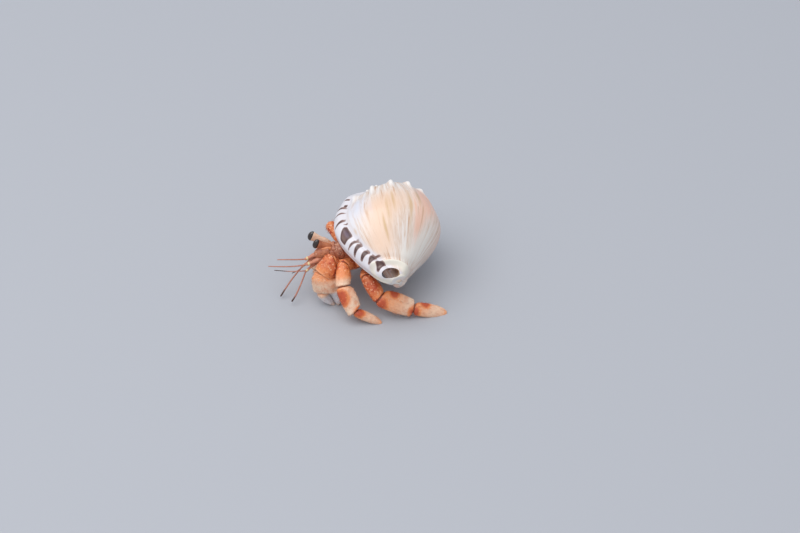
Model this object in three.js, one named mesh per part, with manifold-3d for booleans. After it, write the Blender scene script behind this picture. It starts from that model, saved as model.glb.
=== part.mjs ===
// A land hermit crab walking in a bonnet shell, at life size. Millimetres, +Z up.
// The crab heads along -X and a little along -Y, and stands on its claw and four walking legs at z = 0.
import * as THREE from "three";
import { mergeVertices } from "three/addons/utils/BufferGeometryUtils.js";
import Module from "manifold-3d";

const wasm = await Module();
wasm.setup();

// ---- driving dimensions -------------------------------------------------------------------------

const GAP = 0.3; // clear space between neighbouring pieces
const LIMB_SIDES = 10; // sides of a leg or claw section
const FEELER_SIDES = 6; // sides of an antenna section
const FEELER_RADIUS = 0.27; // the thinnest feeler is a little over half a millimetre thick

// Bonnet shell, in its own frame: z runs to the apex, x to the outer lip, y to the back of the shell.
const SHELL_GROWTH = 1.9; // how much each turn outgrows the one before
const SHELL_PROFILE = [
  // [distance from the axis, place along the axis] at the lip, from the suture to the front end
  [9.4, -8.8], [12.2, -10.1], [15.6, -12.9], [17.86, -16.72], [20.1, -21.5], [21.3, -28.0],
  [19.4, -34.5], [14.9, -40.6], [10.7, -45.3], [7.4, -49.9], [3.2, -52.2],
];
const SHOULDER = 3; // profile step where the next turn rests on this one
const FRONT_END = SHELL_PROFILE.length - 1; // profile step of the siphonal end
const SHELL_KNOBS = 14; // shoulder knobs in one turn
const KNOB_HEIGHT = 1.5;
const KNOB_LEAD = Math.PI / 56; // growth angle of the first knob's crest, just past the lip
const FOLD_HEIGHT = 0.35;
const FAR_SIDE = -0.93 * Math.PI; // growth angle of the side away from the lip
const FAR_SWELL = 0.11; // how much fuller the shell is there
const FAR_WAIST = 0.55; // and how much its front end draws in
const FAR_RISE = 5.5; // and how far that end lifts
const LIP_DROP = 1.8; // how far the shoulder sinks behind the lip
const LIP_RIDGE_WIDTH = 4.6; // the thickened band behind the outer lip
const LIP_RIDGE_HEIGHT = 1.7;
const LIP_WALL = 2.3; // thickness of the lip's inner side
const SHELL_WALL = 1.5; // wall further in
const PILLAR_COAT = 0.35; // glaze laid over the inner lip
const CANAL_UPTURN = 0.03; // bend of the front end towards the back, per millimetre squared
const CANAL_LEAN = 0.01; // and towards the lip
const CANAL_BEND_START = -41;
const CANAL_RADIUS = 2.9;
const SHELL_ORIGIN = new THREE.Vector3(-3.15, 32.4, 21.0); // the apex
const SHELL_AXIS = new THREE.Vector3(-0.141, 1, 0.123).normalize(); // towards the apex
const SHELL_ROLL = THREE.MathUtils.degToRad(21.5); // how far the lip is lifted about the axis

const SHELL_TURN_STEPS = 56; // four to a knob, one of them on its crest
const SPIRE_TURNS = 3;
const BAND_STEPS = [0, 1, 1.8, 2.4, 3];
const BODY_STEPS = [0, 1, 1.8, 2.4, 3, 3.9, 4.8, 5.7, 6.6, 7.4, 8.2, 9.1, 10];

// ---- general helpers ----------------------------------------------------------------------------

const point = (x, y, z) => new THREE.Vector3(x, y, z);
const { clamp, lerp, smoothstep } = THREE.MathUtils;

/** A geometry from corner points and triangles, turned so that its faces point outwards. */
function geometryFrom(points, triangles) {
  const geometry = new THREE.BufferGeometry();
  geometry.setAttribute("position", new THREE.Float32BufferAttribute(points.flatMap((p) => p.toArray()), 3));
  let volume = 0;
  for (const [a, b, c] of triangles) {
    volume += points[a].dot(points[b].clone().cross(points[c]));
  }
  const facing = volume < 0 ? triangles.map(([a, b, c]) => [a, c, b]) : triangles;
  geometry.setIndex(facing.flat());
  return geometry;
}

/** A closed body through rings of equal point count; each end closes on its own middle. */
function bodyThroughRings(rings) {
  const sides = rings[0].length;
  const points = rings.flat();
  const triangles = [];
  for (let ring = 0; ring + 1 < rings.length; ring += 1) {
    for (let side = 0; side < sides; side += 1) {
      const here = ring * sides + side;
      const next = ring * sides + ((side + 1) % sides);
      triangles.push([here, next, next + sides], [here, next + sides, here + sides]);
    }
  }
  const first = points.push(middleOf(rings[0])) - 1;
  const last = points.push(middleOf(rings.at(-1))) - 1;
  const lastRing = (rings.length - 1) * sides;
  for (let side = 0; side < sides; side += 1) {
    const next = (side + 1) % sides;
    triangles.push([first, next, side], [last, lastRing + side, lastRing + next]);
  }
  return geometryFrom(points, triangles);
}

function middleOf(points) {
  const sum = points.reduce((total, p) => total.add(p), point(0, 0, 0));
  return sum.divideScalar(points.length);
}

function toSolid(geometry) {
  const bare = geometry.clone();
  bare.deleteAttribute("normal");
  bare.deleteAttribute("uv");
  const merged = mergeVertices(bare, 1e-5);
  const mesh = new wasm.Mesh({
    numProp: 3,
    vertProperties: new Float32Array(merged.attributes.position.array),
    triVerts: new Uint32Array(merged.index.array),
  });
  return new wasm.Manifold(mesh);
}

function toGeometry(solid) {
  const mesh = solid.getMesh();
  const geometry = new THREE.BufferGeometry();
  geometry.setAttribute("position", new THREE.Float32BufferAttribute(mesh.vertProperties, 3));
  geometry.setIndex([...mesh.triVerts]);
  return geometry;
}

const matte = (color, roughness) => new THREE.MeshStandardMaterial({ color, roughness, metalness: 0 });
const paint = {
  shell: matte(0xf1e6d8, 0.35),
  flesh: matte(0xd0693a, 0.5),
  soft: matte(0xc9a08c, 0.6),
  feeler: matte(0xa8644a, 0.5),
  eye: matte(0x17120f, 0.1),
};

const crab = new THREE.Group();

function addPiece(name, geometry, material) {
  const mesh = new THREE.Mesh(geometry, material);
  mesh.name = name;
  crab.add(mesh);
}

// ---- the shell ----------------------------------------------------------------------------------

/** A smooth value through a list of numbers, at a place counted in steps of the list. */
function along(list, place) {
  const step = clamp(Math.floor(place), 0, list.length - 2);
  const f = place - step;
  const b = list[step];
  const c = list[step + 1];
  const a = step > 0 ? list[step - 1] : 2 * b - c;
  const d = step + 2 < list.length ? list[step + 2] : 2 * c - b;
  const cubic = 3 * b - 3 * c + d - a;
  return 0.5 * (2 * b + (c - a) * f + (2 * a - 5 * b + 4 * c - d) * f * f + cubic * f ** 3);
}

const PROFILE_RADIUS = SHELL_PROFILE.map(([radius]) => radius);
const PROFILE_HEIGHT = SHELL_PROFILE.map(([, height]) => height);

/** Height of a shoulder knob and of the fold that runs down from it, along the profile. */
function knobAt(step) {
  const knob = KNOB_HEIGHT * Math.exp(-(((step - 2.1) / 0.75) ** 2));
  return knob + FOLD_HEIGHT * Math.exp(-(((step - 3.2) / 1.2) ** 2));
}

/**
 * Radius and height of the shell's outside at growth angle `turn` (0 at the lip, less further back)
 * and profile step `step`. Above the shoulder each turn is a smaller copy of the last; below it the
 * profile is stretched so that every turn ends at the same siphonal end, round a slimmer pillar.
 */
function shellOutline(turn, step) {
  const growth = SHELL_GROWTH ** (turn / (2 * Math.PI));
  const shoulderHeight = PROFILE_HEIGHT[SHOULDER];
  const endHeight = PROFILE_HEIGHT[FRONT_END];
  const radius = along(PROFILE_RADIUS, step);
  const height = along(PROFILE_HEIGHT, step);
  const stretch = (endHeight - shoulderHeight * growth) / (endHeight - shoulderHeight);
  const lower = shoulderHeight * growth + (height - shoulderHeight) * stretch;
  const pillar = smoothstep(step, SHOULDER, 8.5) * smoothstep(-turn, 1.1 * Math.PI, 2 * Math.PI);
  const wave = Math.max(0, Math.cos(SHELL_KNOBS * (turn - KNOB_LEAD))) ** 1.5;
  const suture = (knobAt(SHOULDER) / SHELL_GROWTH - knobAt(0)) * Math.max(0, 1 - step);
  const far = ((1 + Math.cos(turn - FAR_SIDE)) / 2) ** 2;
  const fuller = 1 + far * (FAR_SWELL - FAR_WAIST * smoothstep(step, 4.8, 8.2));
  const rise = FAR_RISE * far * smoothstep(step, 7, FRONT_END);
  const behindLip = smoothstep(turn, -1.5, -0.6) * (1 - smoothstep(turn, -0.45, -0.2));
  const sunk = behindLip * smoothstep(step, 0, 2) * (1 - smoothstep(step, SHOULDER, 6));
  return {
    radius: fuller * growth * (radius * (1 - 0.55 * pillar) + wave * (knobAt(step) + suture)),
    height: rise - LIP_DROP * sunk + (step > SHOULDER ? lower : height * growth),
  };
}

function shellPoint(turn, { radius, height }) {
  const bend = Math.max(0, CANAL_BEND_START - height) ** 2;
  const x = radius * Math.cos(turn) + CANAL_LEAN * bend;
  const y = -radius * Math.sin(turn) + CANAL_UPTURN * bend;
  return point(x, y, height);
}

/** The outside surface, with the ridge behind the lip. */
function shellOutside(turn, step) {
  const outline = shellOutline(turn, step);
  const back = (-turn * Math.max(outline.radius, 3)) / LIP_RIDGE_WIDTH;
  const dome = Math.sqrt(Math.max(0, 1 - (2 * back - 0.95) ** 2));
  outline.radius += back < 1 ? LIP_RIDGE_HEIGHT * dome * smoothstep(step, 0, 1.2) : 0;
  return shellPoint(turn, outline);
}

/**
 * One ring of the shell's hollow: up the outer wall's inner face, then back along the pillar. `inset`
 * is the outer wall's thickness, `coat` the glaze on the pillar, `lead` moves the outer side forward.
 */
function hollowRing(turn, inset, coat, lead = 0) {
  const ring = [];
  const wallPoint = (step) => shellPoint(turn, shellOutline(turn, step));
  const pillarPoint = (step) => shellPoint(turn, shellOutline(turn - 2 * Math.PI, step));
  const pillarStep = (step) => SHOULDER + ((FRONT_END - SHOULDER) * step) / FRONT_END;
  const forward = point(-Math.sin(turn), -Math.cos(turn), 0);
  for (const step of BODY_STEPS) {
    const narrow = clamp(step, 0.5, FRONT_END - 0.35);
    const wall = wallPoint(narrow);
    const inward = pillarPoint(pillarStep(narrow)).sub(wall);
    const share = Math.min(inset, 0.42 * inward.length());
    ring.push(wall.addScaledVector(inward.normalize(), share).addScaledVector(forward, lead));
  }
  for (const step of BODY_STEPS.filter((s) => s > SHOULDER).reverse()) {
    const narrow = clamp(step, SHOULDER + 0.5, FRONT_END - 0.35);
    const pillar = pillarPoint(narrow);
    const wallStep = ((narrow - SHOULDER) * FRONT_END) / (FRONT_END - SHOULDER);
    const outward = wallPoint(wallStep).sub(pillar);
    const share = Math.min(coat, 0.3 * outward.length());
    ring.push(pillar.addScaledVector(outward.normalize(), share));
  }
  return ring;
}

const HOLLOW_TURNS = [-0.12, -0.35, -0.7, -1.1, -1.55, -2.0, -2.5, -3.0, -3.5];

function shellGeometry() {
  const points = [];
  const triangles = [];
  const add = (p) => points.push(p) - 1;
  const quad = (a, b, c, d) => triangles.push([a, b, c], [a, c, d]);

  // The outside: each column runs from the apex down the spire's turns and over the last turn.
  const apex = add(point(0, 0, 0));
  const columns = [];
  for (let i = 0; i <= SHELL_TURN_STEPS; i += 1) {
    const even = KNOB_LEAD - 2 * Math.PI * (1 - i / SHELL_TURN_STEPS);
    const turn = i === 0 ? -2 * Math.PI : Math.min(0, even);
    const column = [];
    for (let back = SPIRE_TURNS; back >= 1; back -= 1) {
      for (const step of BAND_STEPS.slice(0, -1)) {
        const older = turn - 2 * Math.PI * back;
        column.push(shellPoint(older, shellOutline(older, step)));
      }
    }
    column.push(...BODY_STEPS.map((step) => shellOutside(turn, step)));
    columns.push(column.map(add));
  }
  // A full turn on, the spire's bands meet the next older ones.
  const band = BAND_STEPS.length - 1;
  const bodyStart = SPIRE_TURNS * band;
  const [first, last] = [columns[0], columns[SHELL_TURN_STEPS]];
  for (let j = 0; j <= bodyStart; j += 1) {
    last[j] = first[j + band];
  }
  const foot = first.length - 1;
  const end = add(middleOf(columns.map((column) => points[column[foot]])));
  for (let i = 0; i < SHELL_TURN_STEPS; i += 1) {
    const here = columns[i];
    const next = columns[i + 1];
    triangles.push([apex, here[0], next[0]], [end, next[foot], here[foot]]);
    for (let j = 0; j < foot; j += 1) {
      quad(here[j], here[j + 1], next[j + 1], next[j]);
    }
  }
  for (let j = 0; j < band; j += 1) {
    triangles.push([apex, first[j + 1], first[j]]);
  }

  // The mouth: from the lip's edge over its rounded bead and into the hollow.
  const lipEdge = last.slice(bodyStart);
  const pillarEdge = first.slice(bodyStart + band + 1).reverse();
  triangles.push([end, pillarEdge[0], lipEdge.at(-1)]);
  const rings = [[...lipEdge, ...pillarEdge]];
  rings.push(hollowRing(0, 0.7, 0.2, 1.1).map(add));
  rings.push(hollowRing(0, LIP_WALL, PILLAR_COAT, 0.5).map(add));
  for (const turn of HOLLOW_TURNS) {
    rings.push(hollowRing(turn, SHELL_WALL, PILLAR_COAT).map(add));
  }
  for (let r = 0; r + 1 < rings.length; r += 1) {
    rings[r].forEach((here, side) => {
      const next = (side + 1) % rings[r].length;
      quad(here, rings[r][next], rings[r + 1][next], rings[r + 1][side]);
    });
  }
  const deepest = rings.at(-1);
  const deepMiddle = add(middleOf(deepest.map((i) => points[i])));
  deepest.forEach((here, side) => {
    triangles.push([here, deepest[(side + 1) % deepest.length], deepMiddle]);
  });
  return geometryFrom(points, triangles);
}

/** The siphonal canal, bored from the mouth to the upturned front end. */
function canalGeometry() {
  const route = new THREE.CatmullRomCurve3([
    point(9.2, -2.0, -35), point(6.9, 0.2, -42.5), point(6.2, 3.4, -47.2),
    point(6.4, 6.6, -49.6), point(6.8, 9.6, -52),
  ]);
  const section = new THREE.Shape();
  section.absarc(0, 0, CANAL_RADIUS, 0, 2 * Math.PI);
  const options = { steps: 8, bevelEnabled: false, curveSegments: 6, extrudePath: route };
  return new THREE.ExtrudeGeometry(section, options);
}

/** The shell's own frame set in the crab's: apex at SHELL_ORIGIN, lip lifted by SHELL_ROLL. */
function shellPlacement() {
  const level = point(0, 0, 1).cross(SHELL_AXIS).normalize();
  const up = SHELL_AXIS.clone().cross(level);
  const lip = level.clone().multiplyScalar(Math.cos(SHELL_ROLL));
  lip.addScaledVector(up, Math.sin(SHELL_ROLL));
  const back = SHELL_AXIS.clone().cross(lip);
  return new THREE.Matrix4().makeBasis(lip, back, SHELL_AXIS).setPosition(SHELL_ORIGIN);
}

const placeShell = shellPlacement();
const shellSolid = toSolid(shellGeometry()).subtract(toSolid(canalGeometry()));
addPiece("shell", toGeometry(shellSolid).applyMatrix4(placeShell), paint.shell);

// ---- sections and sweeps ------------------------------------------------------------------------

/** An elliptical ring, each point slid along `run` onto the plane through `centre` with `normal`. */
function sectionRing(centre, across, deep, run, normal, sides) {
  return Array.from({ length: sides }, (_, i) => {
    const angle = (2 * Math.PI * (i + 0.5)) / sides;
    const offset = across.clone().multiplyScalar(Math.cos(angle)).addScaledVector(deep, Math.sin(angle));
    const slide = -offset.dot(normal) / run.dot(normal);
    const corner = centre.clone().add(offset).addScaledVector(run, slide);
    corner.z = Math.max(corner.z, 0); // feet end in small flats on the floor
    return corner;
  });
}

/** Half axes of a section whose broad side faces `facing`. */
function sectionAxes(run, facing, width, depth) {
  const across = run.clone().cross(facing).normalize();
  const deep = across.clone().cross(run).normalize();
  return [across.multiplyScalar(width), deep.multiplyScalar(depth)];
}

/**
 * A body swept through stations [x, y, z, half width, half depth], each ring square to the way the
 * stations run. `grow` adds to every half size.
 */
function sweep(stations, facing, sides, grow = 0) {
  const centres = stations.map(([x, y, z]) => point(x, y, z));
  const rings = stations.map(([, , , width, depth], i) => {
    const before = centres[Math.max(i - 1, 0)];
    const after = centres[Math.min(i + 1, centres.length - 1)];
    const run = after.clone().sub(before).normalize();
    const [across, deep] = sectionAxes(run, facing, width + grow, depth + grow);
    return sectionRing(centres[i], across, deep, run, run, sides);
  });
  return bodyThroughRings(rings);
}

// ---- the trunk ----------------------------------------------------------------------------------

// The trunk runs back under the shell's mouth, then turns up into it: [x, y, z, half width, half height].
const TRUNK_SIDES = 14;
const SHIELD = [
  [-26.0, 0.4, 15.4, 0.8, 0.8], [-24.9, 0.7, 15.6, 1.5, 1.7], [-23.0, 1.3, 15.6, 2.3, 2.7],
  [-20.9, 2.0, 15.2, 3.1, 3.7],
  [-18.9, 2.7, 14.9, 3.8, 4.4], [-17.35, 3.25, 14.9, 4.2, 4.8],
];
const THORAX = [
  [-16.9, 3.4, 14.9, 4.2, 4.8], [-15.3, 4.0, 15.05, 4.6, 5.2], [-14.0, 4.5, 16.4, 4.7, 4.7],
  [-13.8, 4.9, 18.4, 4.6, 3.4], [-14.4, 5.2, 20.2, 4.4, 2.6],
];
const SIDEWAYS = point(-0.34, 0.94, 0); // to the crab's right
const trunkUp = point(-0.5, -0.18, 0.85).normalize();

const trunk = (stations, grow = 0) => sweep(stations, trunkUp, TRUNK_SIDES, grow);
addPiece("head_shield", trunk(SHIELD), paint.flesh);
addPiece("thorax", trunk(THORAX), paint.flesh);
const trunkRoom = toSolid(trunk(SHIELD, GAP)).add(toSolid(trunk(THORAX, GAP)));

/** Adds a piece that grows out of the trunk, cut back so that it stands just clear of it. */
function addRooted(name, geometry, material) {
  const parts = toSolid(geometry).subtract(trunkRoom).decompose();
  parts.sort((a, b) => b.volume() - a.volume());
  addPiece(name, toGeometry(parts[0]), material);
}

// The soft abdomen fills the shell's hollow: the hollow's own rings, drawn in towards their middles,
// after a round waist where it leaves the thorax.
const ABDOMEN_TURNS = [-0.12, -0.35, -0.7, -1.1, -1.55, -2.0, -2.5];
const ABDOMEN_FILL = [0.6, 0.66, 0.68, 0.65, 0.56, 0.44, 0.3];
const WAIST = { middle: point(-14.6, 5.2, 20.3), width: 4.2, depth: 2.4 };

function abdomenGeometry() {
  const rings = ABDOMEN_TURNS.map((turn, i) => {
    const ring = hollowRing(turn, SHELL_WALL, PILLAR_COAT).map((p) => p.applyMatrix4(placeShell));
    const middle = middleOf(ring);
    return ring.map((p) => p.lerp(middle, 1 - ABDOMEN_FILL[i]));
  });
  const mouth = rings[0];
  const middle = middleOf(mouth);
  const long = SHELL_AXIS;
  const short = point(1, 0, 0).addScaledVector(long, -long.x).normalize();
  const reach = Math.max(...mouth.map((p) => Math.abs(p.clone().sub(middle).dot(short))));
  const length = Math.max(...mouth.map((p) => Math.abs(p.clone().sub(middle).dot(long))));
  const waist = mouth.map((p) => {
    const offset = p.clone().sub(middle);
    const angle = Math.atan2(offset.dot(short) / reach, offset.dot(long) / length);
    const around = WAIST.middle.clone().addScaledVector(long, WAIST.width * Math.cos(angle));
    return around.addScaledVector(short, WAIST.depth * Math.sin(angle));
  });
  return bodyThroughRings([waist, ...rings]);
}

addRooted("abdomen", abdomenGeometry(), paint.soft);

// ---- limbs --------------------------------------------------------------------------------------

// Outline of each limb piece: [place along it, half width, half depth] as shares of its largest.
const OUTLINE = {
  coxa: [[0, 0.8, 0.8], [0.5, 1, 1], [1, 0.84, 0.84]],
  merus: [[0, 0.64, 0.7], [0.22, 0.92, 0.92], [0.6, 1, 1], [0.86, 0.92, 0.92], [1, 0.66, 0.7]],
  carpus: [[0, 0.6, 0.64], [0.3, 0.87, 0.9], [0.62, 1, 1], [0.88, 0.88, 0.86], [1, 0.64, 0.66]],
  propodus: [[0, 0.6, 0.7], [0.2, 0.9, 0.95], [0.5, 1, 1], [0.8, 0.88, 0.86], [1, 0.6, 0.66]],
  dactyl: [
    [0, 0.66, 0.7], [0.14, 0.9, 0.9], [0.4, 0.95, 0.9],
    [0.68, 0.84, 0.78], [0.88, 0.6, 0.55], [1, 0.25, 0.25],
  ],
};

const directionOf = (from, to) => to.clone().sub(from).normalize();
const halfway = (runBefore, runAfter) => runBefore.clone().add(runAfter).normalize();

/**
 * One limb piece between two joints. Both ends are cut on the plane that halves the bend there, half a
 * gap short of it.
 */
function limbPiece(from, to, cutFrom, cutTo, outline, width, depth, facing) {
  const run = directionOf(from, to);
  const [start, end] = [from.clone(), to.clone()];
  start.addScaledVector(run, GAP / 2 / run.dot(cutFrom));
  end.addScaledVector(run, -GAP / 2 / run.dot(cutTo));
  const rings = outline.map(([place, wide, thick]) => {
    const nearStart = clamp(1 - place / 0.5, 0, 1);
    const nearEnd = clamp(1 - (1 - place) / 0.5, 0, 1);
    const normal = run.clone().lerp(cutFrom, nearStart).lerp(cutTo, nearEnd);
    const [across, deep] = sectionAxes(run, facing, width * wide, depth * thick);
    return sectionRing(start.clone().lerp(end, place), across, deep, run, normal, LIMB_SIDES);
  });
  return bodyThroughRings(rings);
}

/**
 * A limb from its joints and one [part, half width, half depth] for each stretch between them. A joint
 * past the last piece only turns that piece's end towards it.
 */
function addLimb(name, joints, pieces, facing) {
  const at = joints.map(([x, y, z]) => point(x, y, z));
  const runs = at.slice(1).map((to, i) => directionOf(at[i], to));
  pieces.forEach(([part, width, depth], i) => {
    const cutFrom = i > 0 ? halfway(runs[i - 1], runs[i]) : runs[i];
    const cutTo = i + 1 < runs.length ? halfway(runs[i], runs[i + 1]) : runs[i];
    const upper = part === "coxa" || part === "merus";
    const broad = upper ? WORLD_UP : facing;
    const geometry = limbPiece(at[i], at[i + 1], cutFrom, cutTo, OUTLINE[part], width, depth, broad);
    const add = upper ? addRooted : addPiece;
    add(`${name}_${part}`, geometry, paint.flesh);
  });
}

const WORLD_UP = point(0, 0, 1);
const LEFT_FACING = point(0.1, -0.8, 0.6);
const RIGHT_FACING = point(-0.1, 0.8, 0.6);
const LEFT_CLAW = { elbow: [-20.4, -4.6, 17.0], wrist: [-23.5, -6.8, 12.9], tip: [-18.9, -7.9, -0.3] };
const RIGHT_CLAW = { elbow: [-23.2, 9.0, 14.4], wrist: [-25.2, 5.6, 10.6], tip: [-23.8, 1.9, 2.4] };

// Walking legs run from inside the trunk to their tips; claw arms end at the wrist.
const LIMBS = {
  leg2_left: {
    facing: LEFT_FACING,
    joints: [
      [-14.4, 4.2, 12.8], [-11.9, 0.4, 12.3], [-16.2, -6.6, 17.2],
      [-16.4, -12.4, 12.2], [-12.3, -17.4, 4.9], [-3.0, -17.9, 0.0],
    ],
    pieces: [
      ["coxa", 1.8, 1.7], ["merus", 2.4, 2.1], ["carpus", 2.7, 2.2],
      ["propodus", 3.1, 2.2], ["dactyl", 1.8, 1.5],
    ],
  },
  leg3_left: {
    facing: LEFT_FACING,
    joints: [
      [-11.0, 6.4, 12.8], [-7.7, 0.2, 9.8], [-8.2, -9.5, 14.0],
      [-3.6, -14.0, 8.6], [8.2, -14.2, 3.6], [20.0, -12.6, 0.1],
    ],
    pieces: [
      ["coxa", 1.7, 1.6], ["merus", 2.4, 2.0], ["carpus", 2.7, 2.1],
      ["propodus", 3.6, 1.9], ["dactyl", 2.6, 1.4],
    ],
  },
  leg2_right: {
    facing: RIGHT_FACING,
    joints: [
      [-16.6, 5.4, 12.6], [-15.4, 10.0, 11.6], [-20.8, 15.6, 16.8],
      [-20.3, 20.8, 11.4], [-17.6, 25.6, 4.6], [-11.0, 29.0, 0.0],
    ],
    pieces: [
      ["coxa", 1.8, 1.7], ["merus", 2.3, 2.0], ["carpus", 2.4, 2.0],
      ["propodus", 2.6, 1.9], ["dactyl", 1.7, 1.4],
    ],
  },
  leg3_right: {
    facing: RIGHT_FACING,
    joints: [
      [-12.2, 7.2, 12.8], [-11.3, 11.8, 10.8], [-12.6, 18.8, 12.2],
      [-9.6, 24.0, 7.8], [-1.6, 29.2, 3.3], [8.0, 31.0, 0.1],
    ],
    pieces: [
      ["coxa", 1.7, 1.6], ["merus", 2.1, 1.8], ["carpus", 2.2, 1.8],
      ["propodus", 2.5, 1.7], ["dactyl", 1.7, 1.3],
    ],
  },
  claw_left: {
    facing: LEFT_FACING,
    joints: [[-18.4, 2.6, 12.6], [-17.6, -1.8, 11.9], LEFT_CLAW.elbow, LEFT_CLAW.wrist, LEFT_CLAW.tip],
    pieces: [["coxa", 1.8, 1.7], ["merus", 2.3, 2.2], ["carpus", 3.7, 3.1]],
  },
  claw_right: {
    facing: RIGHT_FACING,
    joints: [[-19.4, 4.4, 12.8], [-19.3, 7.8, 11.8], RIGHT_CLAW.elbow, RIGHT_CLAW.wrist, RIGHT_CLAW.tip],
    pieces: [["coxa", 1.5, 1.4], ["merus", 1.8, 1.6], ["carpus", 2.2, 2.0]],
  },
};

for (const [name, limb] of Object.entries(LIMBS)) {
  addLimb(name, limb.joints, limb.pieces, limb.facing);
}

// The large claw's outline: [distance down from the wrist, shift sideways, half width, half depth].
const PALM = [
  [0.3, 0, 2.0, 1.8], [1.6, -0.2, 3.7, 2.6], [3.8, -0.1, 4.7, 2.9], [6.2, 0, 4.6, 2.7],
  [6.5, 1.9, 2.5, 2.4], [9.0, 2.0, 2.1, 2.0], [11.5, 1.5, 1.5, 1.5], [13.0, 0.8, 0.8, 0.8],
];
const FINGER = [
  [6.85, -2.45, 1.9, 2.2], [8.6, -2.5, 1.7, 1.9], [10.9, -1.8, 1.2, 1.4], [12.6, -0.9, 0.6, 0.7],
];
const LARGE_CLAW_LENGTH = 13.2;
const WRIST_BLEND = 3; // length over which the palm's sections turn from the wrist's cut

/**
 * A claw from wrist to tip: the palm with its fixed finger, and the movable finger beside it. The
 * wrist's end lies halfway between the claw's run and that of the arm before it.
 */
function addClaw(name, { elbow, wrist, tip }) {
  const [from, to] = [point(...wrist), point(...tip)];
  const run = directionOf(from, to);
  const wristCut = halfway(directionOf(point(...elbow), from), run);
  const scale = from.distanceTo(to) / LARGE_CLAW_LENGTH;
  const across = point(1, 0, 0).addScaledVector(run, -run.x).normalize();
  const deep = across.clone().cross(run);
  const rings = (outline) =>
    outline.map(([down, shift, width, depth]) => {
      const centre = from.clone().addScaledVector(run, down * scale).addScaledVector(across, shift * scale);
      const [wide, thick] = [across.clone(), deep.clone()];
      wide.multiplyScalar(width * scale);
      thick.multiplyScalar(depth * scale);
      const normal = run.clone().lerp(wristCut, clamp(1 - (down - PALM[0][0]) / WRIST_BLEND, 0, 1));
      return sectionRing(centre, wide, thick, run, normal, LIMB_SIDES);
    });
  addPiece(`${name}_palm`, bodyThroughRings(rings(PALM)), paint.flesh);
  addPiece(`${name}_finger`, bodyThroughRings(rings(FINGER)), paint.flesh);
}

addClaw("claw_left", LEFT_CLAW);
addClaw("claw_right", RIGHT_CLAW);

// Small rear legs folded at the shell's mouth.
const REAR_LEGS = {
  leg4_left: [
    [-12.9, 2.6, 17.2, 1.1, 1.0], [-12.2, -1.2, 18.2, 1.2, 1.1],
    [-11.6, -4.0, 17.4, 1.0, 0.9], [-11.0, -6.0, 15.8, 0.6, 0.6],
  ],
  leg4_right: [
    [-14.4, 7.2, 17.2, 1.1, 1.0], [-15.4, 11.0, 18.4, 1.2, 1.1],
    [-14.8, 13.4, 17.4, 1.0, 0.9], [-13.6, 15.0, 15.8, 0.6, 0.6],
  ],
};

for (const [name, stations] of Object.entries(REAR_LEGS)) {
  addRooted(name, sweep(stations, WORLD_UP, FEELER_SIDES), paint.flesh);
}

// ---- the head -----------------------------------------------------------------------------------

const EYE_SIDES = 10;
const EYES = {
  left: {
    stalk: [[-20.6, 1.5, 17.6, 1.2, 0.8], [-22.2, 1.7, 18.9, 1.3, 0.8], [-25.6, 0.95, 20.5, 1.7, 0.95]],
    front: [-27.1, 0.6, 21.1],
  },
  right: {
    stalk: [[-21.1, 3.7, 17.6, 1.2, 0.8], [-22.8, 3.9, 19.0, 1.4, 0.8], [-27.4, 4.75, 20.9, 1.8, 0.95]],
    front: [-28.9, 5.0, 21.5],
  },
};
const CORNEA = [[0.12, 0.93], [0.4, 1], [0.75, 0.78], [1, 0.3]]; // [place from stalk to front, share of size]
const CORNEA_HALF_HEIGHT = 1.85;
const CORNEA_HALF_WIDTH = 1.0;

for (const [side, { stalk, front }] of Object.entries(EYES)) {
  addRooted(`eyestalk_${side}`, sweep(stalk, SIDEWAYS, EYE_SIDES), paint.soft);
  const [from, to] = [point(...stalk.at(-1)), point(...front)];
  const cornea = CORNEA.map(([place, size]) => {
    const middle = from.clone().lerp(to, place);
    return [...middle.toArray(), CORNEA_HALF_HEIGHT * size, CORNEA_HALF_WIDTH * size];
  });
  addPiece(`eye_${side}`, sweep(cornea, SIDEWAYS, EYE_SIDES), paint.eye);
}

// Feelers: the stout base of each, then its thin whip. Stations are [x, y, z, half width, half depth].
const whip = (points) => points.map(([x, y, z]) => [x, y, z, FEELER_RADIUS, FEELER_RADIUS]);
const FEELERS = {
  antenna_left: {
    base: [[-21.8, 1.0, 15.6, 1.0, 0.9], [-25.4, -0.6, 14.6, 0.9, 0.8], [-29.4, -1.2, 12.8, 0.6, 0.55]],
    whip: [[-29.75, -1.25, 12.7], [-34.0, -1.4, 12.2], [-39.0, -1.2, 11.9], [-43.2, -0.9, 11.8]],
  },
  antenna_right: {
    base: [[-22.2, 2.6, 15.8, 1.0, 0.9], [-26.2, 2.2, 14.8, 0.9, 0.8], [-30.0, 1.3, 13.2, 0.6, 0.55]],
    whip: [[-30.35, 1.25, 13.15], [-33.5, 1.0, 13.3], [-37.0, 1.0, 13.3], [-40.0, 1.2, 13.1]],
  },
  antennule_left: {
    base: [[-22.4, 1.0, 13.9, 0.8, 0.7], [-26.4, 0.1, 12.4, 0.65, 0.6], [-29.9, -1.9, 10.2, 0.5, 0.45]],
    whip: [[-30.1, -2.2, 9.9], [-31.8, -5.0, 6.2], [-33.4, -7.2, 3.6], [-34.8, -8.6, 1.9]],
  },
  antennule_right: {
    base: [[-22.8, 2.9, 14.0, 0.8, 0.7], [-27.2, 2.2, 12.7, 0.65, 0.6], [-31.2, 0.6, 10.4, 0.5, 0.45]],
    whip: [[-31.5, 0.4, 10.1], [-34.6, -1.4, 6.6], [-37.0, -3.2, 3.6], [-38.9, -5.0, 1.2]],
  },
};

for (const [name, feeler] of Object.entries(FEELERS)) {
  addRooted(`${name}_base`, sweep(feeler.base, WORLD_UP, FEELER_SIDES), paint.feeler);
  addPiece(`${name}_whip`, sweep(whip(feeler.whip), WORLD_UP, FEELER_SIDES), paint.feeler);
}

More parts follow.
